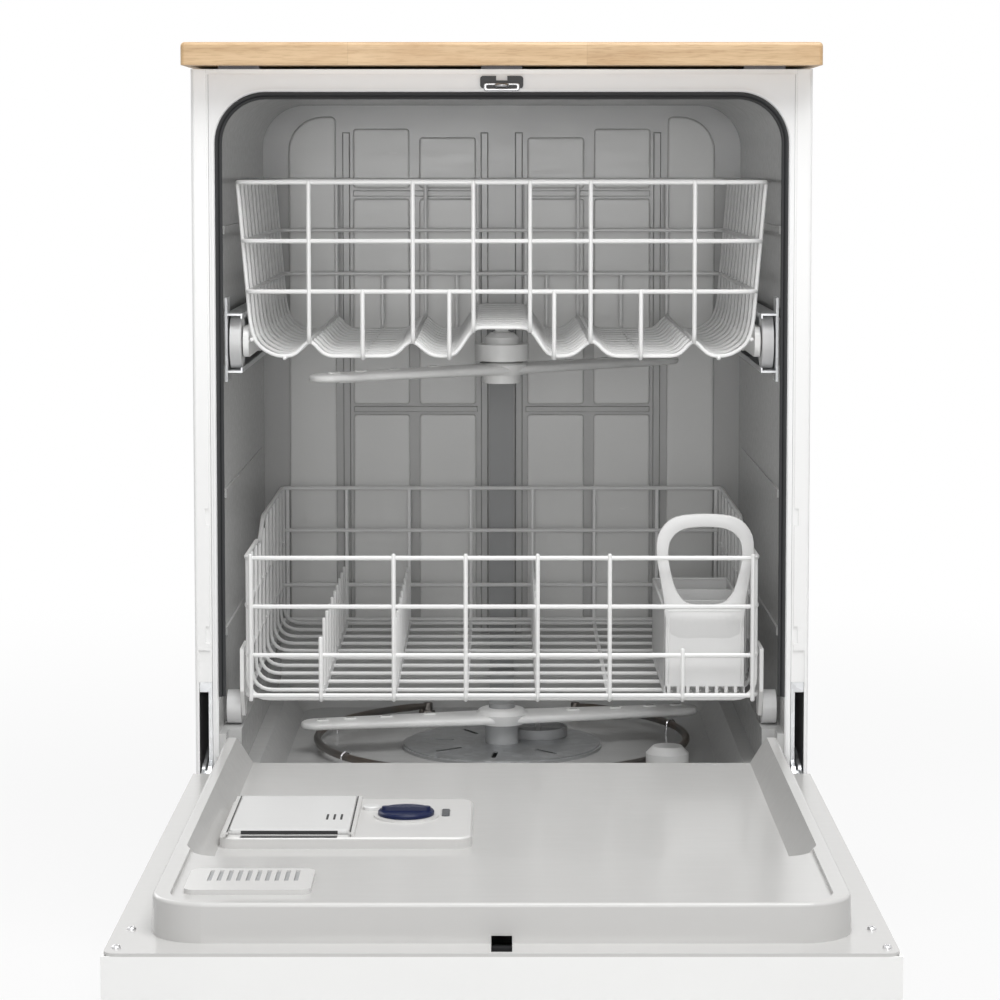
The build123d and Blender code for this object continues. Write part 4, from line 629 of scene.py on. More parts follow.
@dataclass(frozen=True)
class Moulded(Finish):
    """Moulded plastic or rubber: a fine grain, slow changes of tone, and faint rubbed streaks.

    Args:
        grain: grains to a metre.
        depth: the grain's depth in millimetres.
        drift: the share that its tone wanders by.
        rub: how far streaks change its roughness.
        clear: how solid it is, 1 for a solid colour.
        sheen: how strongly it mirrors, 0.5 for a plain plastic.
    """

    grain: float = 1400.0
    depth: float = 0.012
    drift: float = 0.03
    rub: float = 0.1
    clear: float = 1.0
    sheen: float = 0.5

    def dress(self, shade: Shade) -> bpy.types.Material:
        """Tone from broad clouds, roughness from stretched streaks, relief from the grain.

        Args:
            shade: the nodes to build in.

        Returns:
            The material.
        """
        cloud = shade.noise(4.0, detail=3)
        streak = shade.noise(6.0, shade.place((3, 22, 22)), 4, 0.6)
        edge = shade.edges(1.2)
        tone = shade.mix(cloud, toned(self.colour, -self.drift), toned(self.colour, self.drift))
        worn = 0.12 if max(self.colour) < 0.5 else -0.08
        tone = shade.mix(edge * 0.35, tone, toned(self.colour, worn))
        relief = [(shade.noise(self.grain, detail=1), self.depth), (shade.noise(55.0), 0.02)]
        rough = self.roughness - self.rub / 2 + streak * self.rub
        gloss = {"IOR": 1.48, "Specular_IOR_Level": self.sheen}
        return shade.surface(tone, rough, relief, self.clear, **gloss)


@dataclass(frozen=True)
class Enamel(Finish):
    """Baked enamel on sheet steel: a faint orange-peel skin, clear gloss, and thin edges.

    Args:
        peel: the skin's grains to a metre.
        gloss: how much of a clear coat lies on it.
    """

    peel: float = 330.0
    gloss: float = 0.35

    def dress(self, shade: Shade) -> bpy.types.Material:
        """Tone from broad clouds and thin edges, relief from the peel and the sheet's waves.

        Args:
            shade: the nodes to build in.

        Returns:
            The material.
        """
        edge, cloud = shade.edges(1.0), shade.noise(3.0, detail=3)
        tone = shade.mix(cloud, toned(self.colour, -0.015), toned(self.colour, 0.01))
        tone = shade.mix(edge * (0.3 + shade.noise(90.0) * 0.3), tone, toned(self.colour, -0.16))
        relief = [(shade.noise(self.peel, detail=1), 0.012), (shade.noise(2.5, detail=1), 0.08)]
        rough = self.roughness + shade.noise(14.0, detail=4) * 0.06
        return shade.surface(tone, rough, relief, Coat_Weight=self.gloss, Coat_Roughness=0.2)


class Skin(Enum):
    """How a metal's surface was made."""

    SPANGLED = "dipped in zinc, with crystals"
    DRAWN = "drawn or rolled, with fine lines along X"
    POLISHED = "polished bright"


@dataclass(frozen=True)
class Metal(Finish):
    """Bare metal: zinc crystals, rolling lines or a polish, with a tint where it has been hot.

    Args:
        skin: how its surface was made.
        metallic: how far it is bare metal.
        tint: the colour of its clouds.
        tinted: the clouds' share.
    """

    skin: Skin = Skin.SPANGLED
    metallic: float = 1.0
    tint: Colour = (0.5, 0.47, 0.43)
    tinted: float = 0.1

    def dress(self, shade: Shade) -> bpy.types.Material:
        """Tone and roughness from the crystals or lines, with a tint in clouds and bright edges.

        Args:
            shade: the nodes to build in.

        Returns:
            The material.
        """
        fine = shade.noise(700.0, detail=2)
        if self.skin is Skin.SPANGLED:
            crystal = {0: shade.cells(110.0, "Color")}
            grain = Field(shade, shade.node("ShaderNodeSeparateColor", None, crystal).outputs[0])
            relief = [(grain, 0.01), (fine, 0.004)]
        else:
            stretch = (12, 420, 420) if self.skin is Skin.DRAWN else (30, 60, 60)
            grain = shade.noise(4.0, shade.place(stretch), 3, 0.6)
            relief = [(grain, 0.006 if self.skin is Skin.DRAWN else 0.002)]
        tone = shade.mix(grain, toned(self.colour, -0.13), toned(self.colour, 0.1))
        cloud = shade.noise(18.0, detail=3).above(0.45, 0.75)
        tone = shade.mix(cloud * self.tinted, tone, self.tint)
        tone = shade.mix(shade.edges(0.8) * 0.5, tone, toned(self.colour, 0.25))
        return shade.surface(tone, self.roughness + grain * 0.12, relief, Metallic=self.metallic)


@dataclass(frozen=True)
class Maple(Finish):
    """A board glued up from maple staves: each strip's staves differ in tone, with grain along X.

    Args:
        dark: the late wood's colour.
        strip: a stave's width.
        stave: a stave's length.
        first: the staves and strips counted before the board's middle.
    """

    dark: Colour = (0.36, 0.205, 0.088)
    strip: float = 44.0
    stave: float = 230.0
    first: tuple[float, float] = (20.0, 40.35)

    def dress(self, shade: Shade) -> bpy.types.Material:
        """Strips are whole numbers of y, staves of x shifted by a strip's own random share.

        Args:
            shade: the nodes to build in.

        Returns:
            The material.
        """
        spot = shade.node("ShaderNodeSeparateXYZ", None, {0: shade.place()})
        x, y = (Field(shade, spot.outputs[k]) for k in (0, 1))
        rows = y / (self.strip * MM) + self.first[1]
        row = rows.floor()
        jog = shade.node("ShaderNodeTexWhiteNoise", {"noise_dimensions": "1D"}, {"W": row})
        run = x / (self.stave * MM) + self.first[0] + Field(shade, jog.outputs["Value"])
        both = shade.node("ShaderNodeCombineXYZ", None, {0: run.floor(), 1: row}).outputs[0]
        lot = shade.node("ShaderNodeTexWhiteNoise", {"noise_dimensions": "3D"}, {"Vector": both})
        luck, hue = Field(shade, lot.outputs["Value"]), lot.outputs["Color"]
        own = shade.node("ShaderNodeVectorMath", {"operation": "SCALE"}, {0: hue, "Scale": 3.0})
        both = {0: shade.place((1.8, 40, 40)), 1: own.outputs[0]}
        shifted = shade.node("ShaderNodeVectorMath", {"operation": "ADD"}, both)
        figure = shade.noise(3.0, shifted.outputs[0], 5, 0.62)
        pores = shade.noise(9.0, shade.place((5, 66, 66)), 3, 0.6)
        rings = figure.above(0.35, 0.72)
        tone = shade.mix(rings * 0.5 + pores.above(0.46, 0.66) * 0.36, self.colour, self.dark)
        tone = shade.mix(luck * 0.3, tone, toned(self.colour, 0.16))
        curl = shade.noise(13.0, shade.place((1, 2.5, 2.5)), 4, 0.6)
        tone = shade.mix(curl.above(0.48, 0.68) * 0.32, tone, toned(self.dark, 0.25))
        tone = shade.mix(luck.above(0.72, 0.9) * 0.16, tone, self.dark)
        across, along = rows.fraction(), run.fraction()
        joint = 1.0 - (across * (1.0 - across)).above(0.0, 0.016)
        seam = (joint + 1.0 - (along * (1.0 - along)).above(0.0, 0.0028)).clamped()
        tone = shade.mix(seam * 0.2, tone, toned(self.dark, -0.3))
        tone = shade.mix(shade.edges(2.5) * 0.18, tone, toned(self.dark, 0.1))
        relief = [(rings, 0.02), (pores, 0.015), (1.0 - seam, 0.03)]
        rough = self.roughness + rings * 0.12
        return shade.surface(tone, rough, relief, Coat_Weight=0.2, Coat_Roughness=0.3)


@dataclass(frozen=True)
class Cast(Finish):
    """Cast concrete: sand in its face, darker damp clouds, and open pits."""

    def dress(self, shade: Shade) -> bpy.types.Material:
        """Tone from clouds and sand, relief from sand and round pits.

        Args:
            shade: the nodes to build in.

        Returns:
            The material.
        """
        sand, cloud = shade.noise(900.0, detail=3), shade.noise(14.0, detail=5)
        pits = Field(shade, shade.cells(70.0, "Distance")).above(0.05, 0.22)
        tone = shade.mix(cloud, toned(self.colour, -0.2), toned(self.colour, 0.15))
        tone = shade.mix(sand.above(0.55, 0.8) * 0.4, tone, toned(self.colour, -0.4))
        return shade.surface(tone, self.roughness, [(sand, 0.25), (pits, 0.5)])


MAPLE = Maple("maple_board", "maple", (0.635, 0.445, 0.25), 0.4)
ENAMEL = Enamel("baked_enamel", "white_enamel", (0.88, 0.88, 0.875), 0.22)
ZINC = Metal("zinc_sheet", "zinc_steel", (0.60, 0.61, 0.62), 0.34)
BRIGHT = Metal("bright_steel", "bright_wire", (0.82, 0.82, 0.84), 0.12, Skin.POLISHED)
STRIKE = Metal("strike_wire", "bright_wire", (0.42, 0.42, 0.43), 0.24, Skin.POLISHED)
SCREW = Metal("screw_steel", "zinc_steel", (0.66, 0.66, 0.67), 0.24, Skin.DRAWN)
HEATER = Metal(
    "heater_sheath", "dark_steel", (0.22, 0.21, 0.2), 0.38, Skin.DRAWN, 0.9, (0.2, 0.13, 0.08), 0.5
)
DARK_STEEL = Metal("dark_bracket_steel", "dark_steel", (0.09, 0.09, 0.1), 0.4, Skin.DRAWN, 0.6)
WHITE = Moulded("white_plastic", "white_plastic", (0.86, 0.86, 0.85), 0.34)
PALE = Moulded("pale_moulding", "pale_plastic", (0.72, 0.72, 0.715), 0.3, depth=0.008)
FRAME = Moulded(
    "mouth_frame", "pale_plastic", (0.87, 0.87, 0.87), 0.28, depth=0.004, drift=0.01, rub=0.02
)
LINER = Moulded("liner_plastic", "pale_plastic", (0.57, 0.565, 0.555), 0.2, depth=0.005, rub=0.14)
TRIM = Moulded("liner_trim", "pale_plastic", (0.66, 0.655, 0.645), 0.3, depth=0.008)
TUB = Moulded("tub_plastic", "tub_grey", (0.53, 0.53, 0.525), 0.2, depth=0.02, drift=0.06, rub=0.16)
# A lighter copy of the tub's own plastic for the back wall's fields: painted light on them.
PAINTED_LIGHT_FIELD = Moulded("tub_field_painted_light", "tub_grey", (0.78, 0.78, 0.77), 0.24, depth=0.02, drift=0.06, rub=0.16)
MID = Moulded("mid_plastic", "mid_grey", (0.36, 0.365, 0.37), 0.42)
ROLLER = Moulded("roller_plastic", "mid_grey", (0.72, 0.72, 0.72), 0.4)
NAVY = Moulded("cap_plastic", "navy_plastic", (0.012, 0.018, 0.06), 0.3, drift=0.1, sheen=0.15)
LENS = Moulded("window_lens", "navy_plastic", (0.06, 0.065, 0.075), 0.12, drift=0.1, depth=0.002)
# Near-black plates that paint the shade in the dispenser lid's hollows and gaps.
PAINTED_SHADE = Moulded("painted_slot_shade", "mid_grey", (0.05, 0.05, 0.05), 0.6, drift=0.08, sheen=0.15)
BLACK = Moulded("black_moulding", "black_plastic", (0.03, 0.03, 0.032), 0.45, drift=0.1)
SEAL = Moulded("soft_seal", "seal_rubber", (0.032, 0.033, 0.035), 0.6, 900, 0.03, 0.1)
TYRE = Moulded("caster_tyre", "tyre_rubber", (0.05, 0.05, 0.052), 0.75, 600, 0.06, 0.15)
COATED = Moulded("coated_wire", "rack_wire", (0.88, 0.88, 0.875), 0.3, grain=500, depth=0.02)
MILKY = Moulded("milky_plastic", "clear_plastic", (0.82, 0.82, 0.815), 0.38, clear=0.9)
CONCRETE = Cast("cast_concrete", "concrete", (0.42, 0.41, 0.39), 0.9)


def four(kind: str) -> tuple[str, ...]:
    """The nodes of a kind that stands at each of the four corners."""
    return tuple(f"{kind}_{end}_{side}" for end in ("front", "rear") for side in ("left", "right"))


WEARS: dict[Finish, tuple[str, ...]] = {
    MAPLE: ("worktop",),
    ENAMEL: ("top_rails", "side_panel_left", "side_panel_right", "back_panel", "door_skin"),
    ZINC: (
        "upper_rails", "fine_filter", "hinge_arms", "base_frame", "hinge_brackets",
        "caster_fork_left", "caster_fork_right",
    ),
    DARK_STEEL: ("worktop_brackets", "wash_pump"),
    WHITE: ("upper_arm_mount", "upper_runners", "lower_wheel_brackets", "console"),
    PALE: (
        "float_dome", "latch_handle", "console_key_1", "console_key_2", "console_key_3",
        "release_button",
    ),
    FRAME: ("tub_frame",),
    LINER: ("door_liner",),
    TRIM: ("dispenser_body", "vent_grille"),
    TUB: ("tub",),
    MID: ("feed_tube", "sump", "coarse_filter", "drain_pump"),
    ROLLER: four("upper_roller") + four("lower_wheel"),
    NAVY: ("rinse_aid_cap",),
    BLACK: ("strike_mount", "latch_housing", "toe_panel"),
    TYRE: four("caster_wheel"),
    CONCRETE: ("ballast",),
}


# ----------------------------------------------------------------------------------- assemblies


@dataclass
class UpperRack:
    """The upper wire rack: rims, leaning side walls, a waved floor and upright front wires.

    Args:
        thick: the rims' radius.
        thin: the floor wires' radius.
        front: the front wall's depth.
        rear: the rear wall's depth.
        foot: how far out and how high a side wall starts.
        top: how far out and how high it ends.
        rims: the height of each full rim.
        side_rim: the height of the lowest rim, on the sides alone.
        stations: how many wires run across.
        side_wire: the heights that a wire across has on a side wall.
        tall: the long front wires, as how far out and how low they pass under the floor.
        short: the short front wires.
        under: the height of the lowest wires.
        front_tops: the heights of the long and the short front wires.
        runner: how far out the wire under the floor's side lies.
        bends: how far a rim's, a cross wire's and a lengthwise wire's bends reach from a corner.
        wave: the floor wave's half, as across and height pairs.
    """

    thick: float = 2.3
    thin: float = 2.0
    front: float = -263.4
    rear: float = 228.6
    foot: Span = (248.0, 620.0)
    top: Span = (261.8, 783.0)
    rims: tuple[float, ...] = (783.0, 725.0, 675.0)
    side_rim: float = 627.0
    stations: int = 12
    side_wire: Span = (640, 782)
    tall: tuple[Span, ...] = ((191.0, 624.8), (88.0, 624.8), (28.0, 635.6))
    short: tuple[float, ...] = (138.0, 52.0)
    under: float = 608.4
    front_tops: Span = (785.0, 677.0)
    runner: float = 216
    bends: tuple[float, float, float] = (12, 9, 8)
    wave: tuple = (
        (-244, 622), (-226, 610.5), (-206, 610.5), (-191, 628), (-176, 610.5), (-107, 610.5),
        (-90, 628), (-70, 610.5), (-47, 610.5), (-28, 639),
    )

    def half(self, z: float) -> float:
        """How far out the leaning side wall is at a height."""
        (x0, z0), (x1, z1) = self.foot, self.top
        return x0 + (x1 - x0) * (z - z0) / (z1 - z0)

    def rim(self, z: float) -> Shell:
        """One hoop round all four walls."""
        x = self.half(z)
        corners = [(-x, self.front, z), (x, self.front, z), (x, self.rear, z), (-x, self.rear, z)]
        return tube(rounded(corners, self.bends[0], closed=True), self.thick, closed=True)

    def cross(self, y: float) -> Shell:
        """One wire down a side, over the floor's waves and up the other side."""
        left = [(-self.half(z), y, z) for z in self.side_wire[::-1]]
        left += [(x, y, z) for x, z in self.wave]
        right = [(-x, y, z) for x, y, z in left[::-1]]
        return tube(rounded(left + right, self.bends[1], 3), self.thin)

    def along(self, x: float, low: float, top: float) -> Shell:
        """One wire down the front wall, along under the floor and up the rear wall."""
        ends = (self.front - 1.0, self.rear + 1.0)
        line = [(x, ends[0], top), (x, ends[0], low), (x, ends[1], low), (x, ends[1], top)]
        return tube(rounded(line, self.bends[2]), self.thin + 0.2)

    def make(self) -> None:
        """Builds and dresses the rack."""
        shells = [self.rim(z) for z in self.rims]
        spots = np.linspace(self.front + 8.4, self.rear - 5.6, self.stations)
        shells += [self.cross(y) for y in spots]
        long_top, short_top = self.front_tops
        for s in SIDES:
            x, z, low = s * self.half(self.side_rim), self.side_rim, self.under
            shells.append(tube([(x, y, z) for y in (self.front + 4, self.rear - 4)], self.thick))
            shells += [self.along(s * x, z, long_top) for x, z in self.tall]
            shells += [self.along(s * x, low, short_top) for x in self.short]
            ends = (spots[0] - 3, spots[-1] + 3)
            shells.append(tube([(s * self.runner, y, low) for y in ends], self.thin))
        build("upper_wire_rack", shells, COATED, "upper_basket", ["upper_rack"])


@dataclass
class LowerRack:
    """The lower wire rack: hoops, U-bent floor wires, lengthwise wires and three rows of tines.

    Args:
        thick: the hoops' radius.
        thin: the floor wires' radius.
        half: half of its width, to the wire's middle.
        front: the front wall's depth.
        rear: the rear wall's depth.
        floor: the height of the wires across the floor.
        rise: the top hoop's line along a side, as depth and height pairs.
        hoops: the heights of the two level hoops.
        middle: the height of the hoop that is open at the rear.
        back: the height of the rear wall's own wire.
        stations: how many wires run across.
        tall: how far out the lengthwise wires with full walls are.
        low_front: how far out and how high at the front the outer lengthwise wires are.
        tops: the heights at which the front and the rear wall's wires end.
        posts: how far out the front and the rear corner wires stand.
        rows: how far out each row of tines is.
        row_level: the height of a row's base wire.
        row_ends: where a row's base wire starts and ends.
        tine_ends: where its first and last tine stand.
        tine_top: the tines' height.
        tines: how many a row has.
        bends: how far a hoop's, the top hoop's, a cross wire's and a lengthwise wire's bends reach.
    """

    thick: float = 2.35
    thin: float = 2.05
    half: float = 256.0
    front: float = -262.6
    rear: float = 237.4
    floor: float = 266.4
    rise: tuple = (
        (-262.6, 409), (-121, 409), (-106, 403.4), (-86, 403.4), (-41, 424.6), (237.4, 424.6),
    )
    hoops: Span = (311.0, 270.2)
    middle: float = 360
    back: float = 375
    stations: int = 11
    tall: tuple[float, ...] = (36.0, 108.0)
    low_front: tuple[Span, ...] = ((-181, 330), (181, 318))
    tops: Span = (413.5, 426.6)
    posts: Span = (251, 250)
    rows: tuple[float, ...] = (-181.0, -108.0, 36.0)
    row_level: float = 270.2
    row_ends: Span = (-236, 210)
    tine_ends: Span = (-206, 180)
    tine_top: float = 340.3
    tines: int = 9
    bends: tuple[float, float, float, float] = (14, 12, 22, 5)

    def hoop(self, z: float) -> Shell:
        """A level hoop round all four walls."""
        x = self.half
        line = [(-x, self.front, z), (x, self.front, z), (x, self.rear, z), (-x, self.rear, z)]
        return tube(rounded(line, self.bends[0], closed=True), self.thick, closed=True)

    def top_hoop(self) -> Shell:
        """The top hoop, which dips and rises along both sides."""
        right = [(self.half, y, z) for y, z in self.rise]
        left = [(-x, y, z) for x, y, z in right[::-1]]
        return tube(rounded(right + left, self.bends[1], closed=True), self.thick, closed=True)

    def cross(self, y: float) -> Shell:
        """One wire down a side, over the floor and up the other side, with round bottom corners."""
        top, x = float(np.interp(y, *zip(*self.rise))), self.half - 1.6
        line = [(-x, y, top), (-x, y, self.floor), (x, y, self.floor), (x, y, top)]
        return tube(rounded(line, self.bends[2], 6), self.thin)

    def along(self, x: float, front_top: float, rear_top: float) -> Shell:
        """One wire up the front wall, along under the floor and up the rear wall."""
        low, (a, b) = self.floor - 1.0, (self.front - 1.0, self.rear + 0.6)
        line = [(x, a, front_top), (x, a, low), (x, b, low), (x, b, rear_top)]
        return tube(rounded(line, self.bends[3]), self.thick - 0.1)

    def tine_row(self, x: float) -> list[Shell]:
        """A base wire and its upright tines."""
        spots, heights = np.linspace(*self.tine_ends, self.tines), (268.5, 300, self.tine_top)
        row = [tube([(x, y, self.row_level) for y in self.row_ends], self.thin)]
        return row + [tube([(x, y, z) for z in heights], 1.9, 7) for y in spots]

    def make(self) -> None:
        """Builds and dresses the rack."""
        shells = [self.top_hoop()] + [self.hoop(z) for z in self.hoops]
        x, near, far = self.half, self.front, self.rear
        spots = [(-x, far - 4), (-x, near), (x, near), (x, far - 4)]
        middle = rounded([(*spot, self.middle) for spot in spots], self.bends[0])
        shells.append(tube(middle, self.thick))
        shells.append(tube([(3 - x, far, self.back), (x - 3, far, self.back)], self.thick))
        shells += [self.cross(y) for y in np.linspace(-257, 232, self.stations)]
        front_top, rear_top = self.tops
        shells += [self.along(s * t, front_top, rear_top) for t in self.tall for s in SIDES]
        shells += [self.along(at, top, rear_top) for at, top in self.low_front]
        for s in SIDES:
            front, rear = (s * at for at in self.posts)
            shells.append(tube([(front, near - 1, z) for z in (264.6, front_top)], self.thick))
            shells.append(tube([(rear, far + 0.6, z) for z in (265, rear_top)], self.thick))
        for row in self.rows:
            shells += self.tine_row(row)
        build("lower_wire_rack", shells, COATED, "lower_basket", ["lower_rack"])


@dataclass
class SilverwareBasket:
    """The silverware basket: milky walls with a comb at the foot, two partitions and a loop handle.

    Args:
        x: its sides.
        y: its front and back.
        z: its foot and rim.
        wall: its walls' thickness.
        comb: how high the walls' open foot is.
        pitch: how far apart the foot's posts stand.
        outer: half of the handle's outer curve, as across and height pairs.
        inner: half of the handle's opening.
    """

    x: Span = (163.0, 245.0)
    y: Span = (-250.0, -18.0)
    z: Span = (268.3, 355.3)
    wall: float = 2.0
    comb: float = 9.0
    pitch: float = 9.6
    outer: tuple = (
        (0, 326), (28, 326), (39, 338), (41, 362), (46, 392), (49, 414), (46.5, 432), (35, 446),
        (16, 451),
    )
    inner: tuple = (
        (0, 359.5), (18, 362), (28, 373), (33.5, 390), (36.8, 408), (35, 424), (26, 434), (12, 438),
    )

    def loop(self) -> Shell:
        """The handle: the frame between its outer and inner curves."""
        middle = (self.x[0] + self.x[1]) / 2

        def whole(half: tuple) -> list[tuple[float, float]]:
            """The curve's two mirrored halves."""
            return [*half, *[(-u, v) for u, v in half[::-1] if u > 0]]

        outer, inner = (smooth_loop(whole(c), (0, 400)) for c in (self.outer, self.inner))
        shift = np.array([middle, 0])
        return ring_plate(outer + shift, inner + shift, self.y[0] - 0.2, self.y[0] + 5, 1.3)

    def wall_with_comb(self, span: Span, depth: Span, facing: Facing) -> list[Shell]:
        """One wall: a plate that stands on a row of posts, with a foot strip under them.

        Args:
            span: where the wall runs from and to.
            depth: its thickness's two faces.
            facing: the way it looks.

        Returns:
            The plate, the posts and the strip.
        """
        foot, low = self.z[0], self.z[0] + 2.2
        high = foot + self.comb
        parts = [slab(panel(span, (high - 0.2, self.z[1] - 1), 0.8, 2), *depth, facing, 0.5)]
        parts.append(slab(panel(span, (foot, low), 0.5, 2), *depth, facing, 0.4))
        for at in np.arange(span[0] + 5, span[1] - 4, self.pitch):
            post = panel((at - 1.7, at + 1.7), (low - 0.3, high), 0.3, 1)
            parts.append(slab(post, *depth, facing, 0.3))
        return parts

    def make(self) -> None:
        """Builds and dresses the basket."""
        (x0, x1), (y0, y1), (z0, z1), t = self.x, self.y, self.z, self.wall
        shells = []
        for depth in ((y0, y0 + t), (y1 - t, y1)):
            shells += self.wall_with_comb(self.x, depth, Facing.FRONT)
        for depth in ((x0, x0 + t), (x1 - t, x1)):
            shells += self.wall_with_comb(self.y, depth, Facing.SIDE)
        across, along, base = (x0 + 1, x1 - 1), (y0 + 1, y1 - 1), (z0, z0 + 2)
        third, partition = (y1 - y0) / 3, panel(across, (z0, z1 - 2), 1, 2)
        for at in (y0 + third, y0 + third * 2):
            shells.append(slab(partition, at - 1, at + 1, Facing.FRONT, 0.5))
        near, far = along
        rim = [(x, y, z1 - 1.6) for x, y in zip(across + across[::-1], (near, near, far, far))]
        shells.append(tube(rounded(rim, 4, closed=True), 1.6, closed=True))
        shells += [bar((x - 2, x + 2), along, base) for x in np.linspace(x0 + 3, x1 - 3, 9)]
        shells += [bar(across, (y - 1.5, y + 1.5), base) for y in np.linspace(y0 + 3, y1 - 3, 13)]
        for x in (x0 + 4, x1 - 5.4):
            shells.append(bar((x, x + 1.4), (y0 - 0.4, y0 + 0.4), (z0 + 12, z1 - 8), 0.3))
        shells.append(self.loop())
        build("silverware_caddy", shells, MILKY, "cutlery_basket", ["silverware_basket"])


@dataclass
class SprayArm:
    """A spray arm: a blade that thins towards both round tips, a hub, and oval jets with slits.

    Args:
        name: what the piece is called.
        node: the construction's node that it stands for.
        body: the body it moves with.
        y: where its axis stands.
        level: its underside.
        reach: from the axis to a tip.
        turn: how far it is turned at rest.
        hub: the hub's radius and top.
        bore: the hole's radius.
        thick: the blade's thickness at the hub.
        root: its width at the hub.
        tip: its width at a tip.
        shares: where the jets stand, as shares of the reach.
        around: points round the blade.
    """

    name: str
    node: str
    body: str
    y: float
    level: float
    reach: float
    turn: float
    hub: Span
    bore: float
    thick: float = 12.0
    root: float = 50.0
    tip: float = 35.0
    shares: tuple[float, ...] = (0.36, 0.58, 0.76, 0.9)
    around: int = 28

    def blade(self) -> Shell:
        """Rings across the blade, superellipses of power 3 with half width w(s) and height h(s).

        w falls evenly from root to tip and closes as a half circle, and h falls by about a fifth.
        """
        s = np.sin(np.linspace(-pi / 2, pi / 2, 61)) * 0.9995
        share = np.abs(s)
        end = 1 - self.tip / 2 / self.reach
        close = np.sqrt(np.clip(1 - ((share - end) / (1 - end)).clip(0) ** 2, 0.0004, 1))
        w = (self.root + (self.tip - self.root) * share) / 2 * close
        h = self.thick / 2 * (1 - 0.22 * share) * close**0.5
        a = np.arange(self.around) * 2 * pi / self.around
        across, up = (np.sign(way) * np.abs(way) ** (2 / 3) for way in (np.cos(a), np.sin(a)))
        x = np.repeat((s * self.reach)[:, None], self.around, 1)
        rise = self.level + self.thick / 2 + np.outer(h, up)
        return loft(np.stack([x, self.y + np.outer(w, across), rise], -1))

    def make(self) -> None:
        """Builds the arm in white, and black plates on its jets that paint the shade in their slits.
        """
        top, shells, slits = self.level + self.thick, [self.blade()], []
        for side in SIDES:
            for share in self.shares:
                x, y = side * self.reach * share, self.y + (share - 0.6) * 16 * side
                crest = top - 0.1 * self.thick * share - 0.6
                boss = panel((x - 7.5, x + 7.5), (y - 3.5, y + 3.5), 3.4, 5)
                shells.append(slab(boss, crest - 1, crest + 1.9, Facing.UP, 1.0))
                # Each slit is a black plate just proud of its jet: painted shade in the opening.
                slit = panel((x - 4.6, x + 4.6), (y - 0.8, y + 0.8), 0.7, 3)
                slits.append(slab(slit, crest + 1, crest + 1.96, Facing.UP, 0.1))
            span = sorted((side * 30, side * self.reach * 0.86))
            rib = panel(span, (self.y - 1.2, self.y + 1.2), 1, 2)
            shells.append(slab(rib, self.level - 0.1, self.level + 2, Facing.UP, 0.6))
        r, high = self.hub
        low, b = self.level, self.bore
        skirt = [(b, low), (b, high), (b + 3, high), (r - 3, high - 1), (r - 0.6, high - 2.6)]
        skirt += [(r, top + 1), (r + 3.5, top - 1), (r, low + 1), (r - 1, low)]
        shells.append(lathe(skirt, (0, self.y, 0), 40, loop=True))
        spot = (0.0, self.y)
        build(self.name, [s.turned(self.turn, spot) for s in shells], WHITE, self.body, [self.node])
        build(self.name + "_slits", [s.turned(self.turn, spot) for s in slits], BLACK, self.body)


UPPER_ARM = SprayArm(
    "upper_arm_shell", "upper_spray_arm", "upper_arm", -10.0, 575.0, 246.5, 37.6,
    hub=(24.0, 588.5), bore=15.1,
)
LOWER_ARM = SprayArm(
    "lower_arm_shell", "lower_spray_arm", "lower_arm", -15.0, 196.0, 219.5, 12.0,
    hub=(26.0, 213.0), bore=14.1,
)


